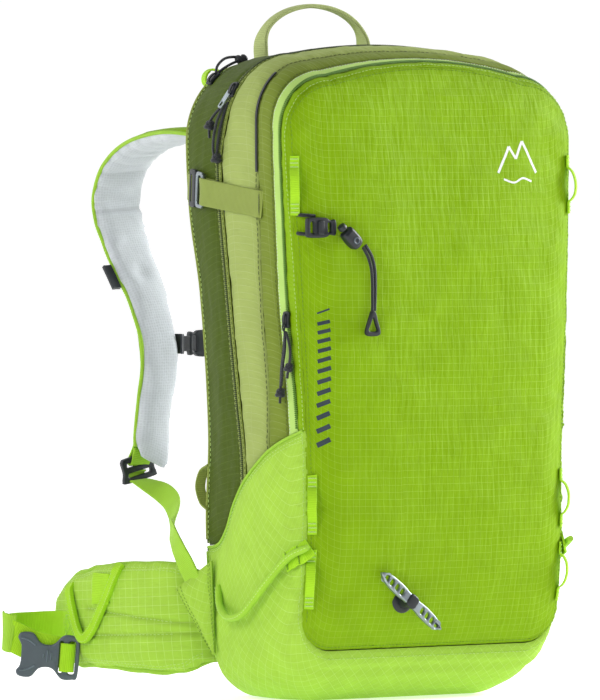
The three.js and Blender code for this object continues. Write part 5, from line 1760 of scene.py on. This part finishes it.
def axe_holder():
    clip_y = panel_face(AXE_X, AXE_Z) - 3.4
    where = basis((AXE_X - 14, clip_y, AXE_Z), (1, 0, 0), (-0.1, 0, 1))
    shape = plan(both_halves([(-16, 6), (-13, 9), (4, 9), (10, 6.5), (16, 6.5)]), 1.1)
    clip = moulded_piece("axe_clip_body", [shape, rounded(-10, 0, 4.4, 11, 1.8), rounded(9, 0, 4.0, 9, 1.6)], 4.6,
                         "black", where, edge=1.3)
    ridge = moulded_piece("axe_clip_ridge", [rounded(0, 0, 7, 13, 2.2)], 3.0, "black",
                          basis((AXE_X - 15, clip_y - 2.6, AXE_Z), (1, 0, 0), (-0.1, 0, 1)), edge=1.1)
    settle(merge("axe_clip_body", [clip, ridge]), "front_flap", "black_plastic", "axe_clip")

    lock_x = AXE_X + 15
    lock_y = panel_face(lock_x, 424) - 8
    along = unit(np.array([0.72, 0, -0.69]))
    up = np.array([0.69, 0, 0.72])
    barrel = plan(both_halves([(-10, 4.5), (-7, 6.5), (6, 6.5), (10, 3.4)]), 1.0)
    body = moulded_piece("cord_lock_barrel", [barrel], 10.8, "black", basis((lock_x, lock_y, 426), along, up),
                         edge=3.4)
    eye = [lock_x + along[0] * 3, lock_y, 426 + along[2] * 3]
    rims = []
    for s in (-1, 1):
        t = np.linspace(0, 2 * math.pi, 24)
        centre = np.array(eye) + np.array([0, s * 5.5, 0])
        rims.append(tube_lump(centre + along * 2.6 * np.cos(t)[:, None] + up * 2.6 * np.sin(t)[:, None], 0.7, 8))
    settle(merge("cord_lock_barrel", [body, join("cord_lock_rims", rims, ["slate"])]), "cord_lock", "black_plastic",
           "cord_lock")
    at = np.array([lock_x, lock_y, 426]) - along * 14.4
    radii = np.array([3.0, 3.8, 4.0, 4.0, 3.7, 2.6])
    steps = np.array([-2.5, -2.2, -1.4, 1.2, 2.1, 2.5])
    settle(join("cord_lock_cap", [tube_lump(at - along * steps[::-1][:, None], radii[::-1], 20)], ["black"]),
           "cord_lock_button", "black_plastic", "cord_lock_button")

    cord_y = lock_y - 1
    hang_y = panel_face(lock_x + 22, 336) - 4
    line = [(lock_x + 12, cord_y, 418), (lock_x + 17, cord_y - 1, 409), (lock_x + 20, cord_y - 2, 398),
            (lock_x + 22, mix(cord_y, hang_y, 0.7), 386), (lock_x + 22, hang_y, 372), (lock_x + 22, hang_y, 360)]
    path = resample(line, 1.2)
    cord = join("axe_pull_cord", [tube_lump(path, AXE_CORD_DIAMETER / 2, 10)], ["cord"])
    other = resample(np.array(line) + np.array([[2.2, -0.6, 2.0], [3.4, -0.4, 1.2], [3.6, 0, 0.6], [3.3, 0, 0],
                                                [2.9, 0, 0], [2.4, 0, 0]]), 1.2)
    strand = join("axe_second_strand", [tube_lump(other, AXE_CORD_DIAMETER / 2, 10)], ["cord"])
    loop_centre = np.array([lock_x + 22, hang_y, 348.4])
    triangle = plan([(-2.2, 11), (2.6, 11), (5.6, 2), (8.4, -7.5), (6.4, -11), (0, -11.6), (-6.4, -11),
                     (-8.4, -7.5), (-5.6, 2)], 1.0)
    hole = plan([(0, 5.2), (3.4, -2.6), (4.6, -6.2), (0, -7.4), (-4.6, -6.2), (-3.4, -2.6)], 0.9)
    pull = moulded_piece("axe_pull_tab", [triangle, hole], 3.8, "black", basis(loop_centre, (1, 0, 0), (0, 0, 1)),
                         edge=1.4)
    for obj, node in ((cord, "axe_cord"), (strand, None), (pull, "axe_cord_pull")):
        settle(obj, "axe_cord", "black_cord" if obj is not pull else "black_plastic", *([node] if node else []))
    run_along(path)[-1] * MM

    eyelets = []
    for z, reach in ((447, 9.0), (430, 7.0)):
        x0 = -147.5
        y0 = float(FRONT_EDGE.y(z)) - 2
        arc = resample([(x0 - 2, y0 + 7, z + 1), (x0 - 4.4, y0 - 1, z + 0.6), (x0 + 1, y0 - 6.2, z),
                        (x0 + reach, y0 - 8.4, z - 0.6)], 1.0)
        eyelets.append(tube_lump(arc, 1.7, 10))
        eyelets += knot_lump(arc[1], (0, 1, 0), 2.6)
    settle(join("axe_cord_eyelets", eyelets, ["cord"]), "front_flap", "black_cord")


def axe_toggle():
    face = panel_face(TOGGLE_X, TOGGLE_Z)
    bar_y = panel_face(TOGGLE_X, TOGGLE_Z + 46) - 6
    stem = np.array([[TOGGLE_X, y, TOGGLE_Z]
                     for y in (face - 0.4, face - 1.2, face - 2.4, face - 3.0, bar_y + 3.4)])
    rim = tube_lump(stem, np.array([11, 11.5, 10.0, 6.5, 5.5]), 28)
    settle(join("toggle_eyelet", [rim], ["black"]), "pack", "toggle_pin", "toggle_grommet")
    quarter = [(43, 0), (38, 3.4), (30, 5.6), (15, 6.0), (8, 5.2)]
    shape = plan([*quarter, *[(-x, y) for x, y in quarter[::-1]], *[(-x, -y) for x, y in quarter[1:]],
                  *[(x, -y) for x, y in quarter[:0:-1]]], 1.4)
    holes = [rounded(s * x, 0, 4.2, 6.4, 4.2 / 2 - 0.2) for s in (-1, 1) for x in (14.5, 21.5, 28.5, 35.5)]
    where = basis((TOGGLE_X, bar_y, TOGGLE_Z), (0.77, 0, -0.63), (0, 0, 1))
    bar = moulded_piece("toggle_bar", [shape, *holes], 4.6, "metal", where, edge=1.5,
                        dish=lambda x, y: -0.0006 * x * x)
    hub = moulded_piece("toggle_hub", [rounded(0, 0, 12, 12.5, 4.0)], 6.8, "black", where, edge=1.8)
    settle(merge("toggle_bar", [bar, hub]), "axe_toggle", "toggle_metal", "axe_toggle")


# ---------- printed marks, of our own design ----------

def print_lump(points, width):
    """A printed stroke, thin and flat on the front panel."""
    tree, lift = TREES["front"], 0.15
    line = resample([(x, -110, z) for x, z in points], 1.6)
    at, normals = drape(tree, line, (0, 1, 0), lift)
    tangent = unit(np.gradient(at, axis=0))
    side = np.cross(tangent, normals)
    shares = np.array([-0.5, 0, 0.5]) * width
    top = at[:, None] + side[:, None] * shares[None, :, None]
    flat, out = drape(tree, top.reshape(-1, 3), (0, 1, 0), lift)
    skin = Skin(flat.reshape(len(line), 3, 3))
    skin.normals = out.reshape(len(line), 3, 3)
    return skin.lump(0.3)


def prints():
    x0, z0 = 89, 499
    ridge = [(x0 - 22, z0 - 14), (x0 - 8, z0 + 10), (x0 - 1, z0 - 1), (x0 + 8, z0 + 15), (x0 + 23, z0 - 14)]
    lumps = [print_lump([a, b], 2.6) for a, b in zip(ridge, ridge[1:])]
    lumps.append(print_lump([(x0 - 16, z0 - 20), (x0 - 4, z0 - 23), (x0 + 6, z0 - 19), (x0 + 17, z0 - 22)], 1.8))
    settle(join("front_mark", lumps, ["print_white"]), "front_flap", "lime_ripstop")
    lumps = []
    z, size = 238.0, 9.0
    while z < 352:
        lumps.append(print_lump([(-136.5, z), (-125.0, z + size * 0.62)], 2.2 + size * 0.28))
        z += size + 3.6
        size *= 0.93
    flap = [print_lump([(-136.5, 358), (-125, 362)], 1.6)]
    low = [lump for lump in lumps if lump[0][:, 2].mean() < 262]
    high = [lump for lump in lumps if lump[0][:, 2].mean() >= 262]
    settle(join("side_mark_low", low, ["print_dark"]), "pack", "lime_ripstop")
    settle(join("side_mark", high + flap, ["print_dark"]), "front_flap", "lime_ripstop")


# ---------- small sewn pieces ----------

def small_pieces():
    """The yoke that the shoulder straps come out of, a lime tab and a short webbing loop on the back edge."""
    for name, sign in SIDES:
        path = resample([(sign * 77, y, z) for y, z in ((107.5, 470), (110, 490), (112.5, 503), (119, 509),
                                                        (127, 512.5))], 2)
        yoke = webbing_lump(path, 58, 2.4, (1, 0, 0), sag=0.6)
        settle(join("strap_yoke_" + name, [yoke], ["lime"]), "back_door", "lime_ripstop")
        y = float(BACK_EDGE.y(194))
        loop = resample(flip(sign, [(133, y - 2, 214), (135, y + 7, 208), (135.5, y + 12, 194), (134.5, y + 7, 180),
                                    (133, y - 1, 174)]), 1.6)
        settle(join("edge_loop_" + name, [webbing_lump(loop, 10, 1.7, (sign, 0.2, 0))], ["olive_webbing"]),
               "back_door", "olive_webbing")
    y = float(BACK_EDGE.y(560))
    tab = resample([(-106, y - 5, 579), (-112, y + 3, 580), (-117.5, y + 4, 575), (-118.5, y + 2, 568),
                    (-114, y - 4, 563)], 1.4)
    settle(join("top_tab", [webbing_lump(tab, 12, 2.0, (0.3, 1, 0))], ["lime_webbing"]), "back_door",
           "lime_webbing")


def main():
    make_camera()
    make_stage()
    make_lower_cover()
    make_gussets()
    make_front()
    make_edge_piping()
    make_inside_and_back()
    zip_pulls()
    axe_holder()
    axe_toggle()
    for name, sign in SIDES:
        low, high = sorted((sign * 24, sign * 112))
        back_pad("back_cushion_" + name, low, high, 158, 480, 12, "back_door", f"back_pad_{name}",
                 (215, 272, 330, 388, 440), 4.0)
    back_pad("lumbar_cushion", -92, 92, 0, 128, 26, "pack", "lumbar_pad", (44, 86), 5.0)
    for name, sign in SIDES:
        ribbon = shoulder_strap(name, sign)
        strap_fittings(name, sign, ribbon)
        strap_anchor(name, sign)
        tree = hip_wing(name, sign)
        belt_fittings(name, sign, tree)
        compression_strap(name, sign)
        ski_loop(name, sign)
        for level, height in LASH_HEIGHTS.items():
            lash_loop(name, sign, level, height)
    haul_loop()
    prints()
    small_pieces()


main()
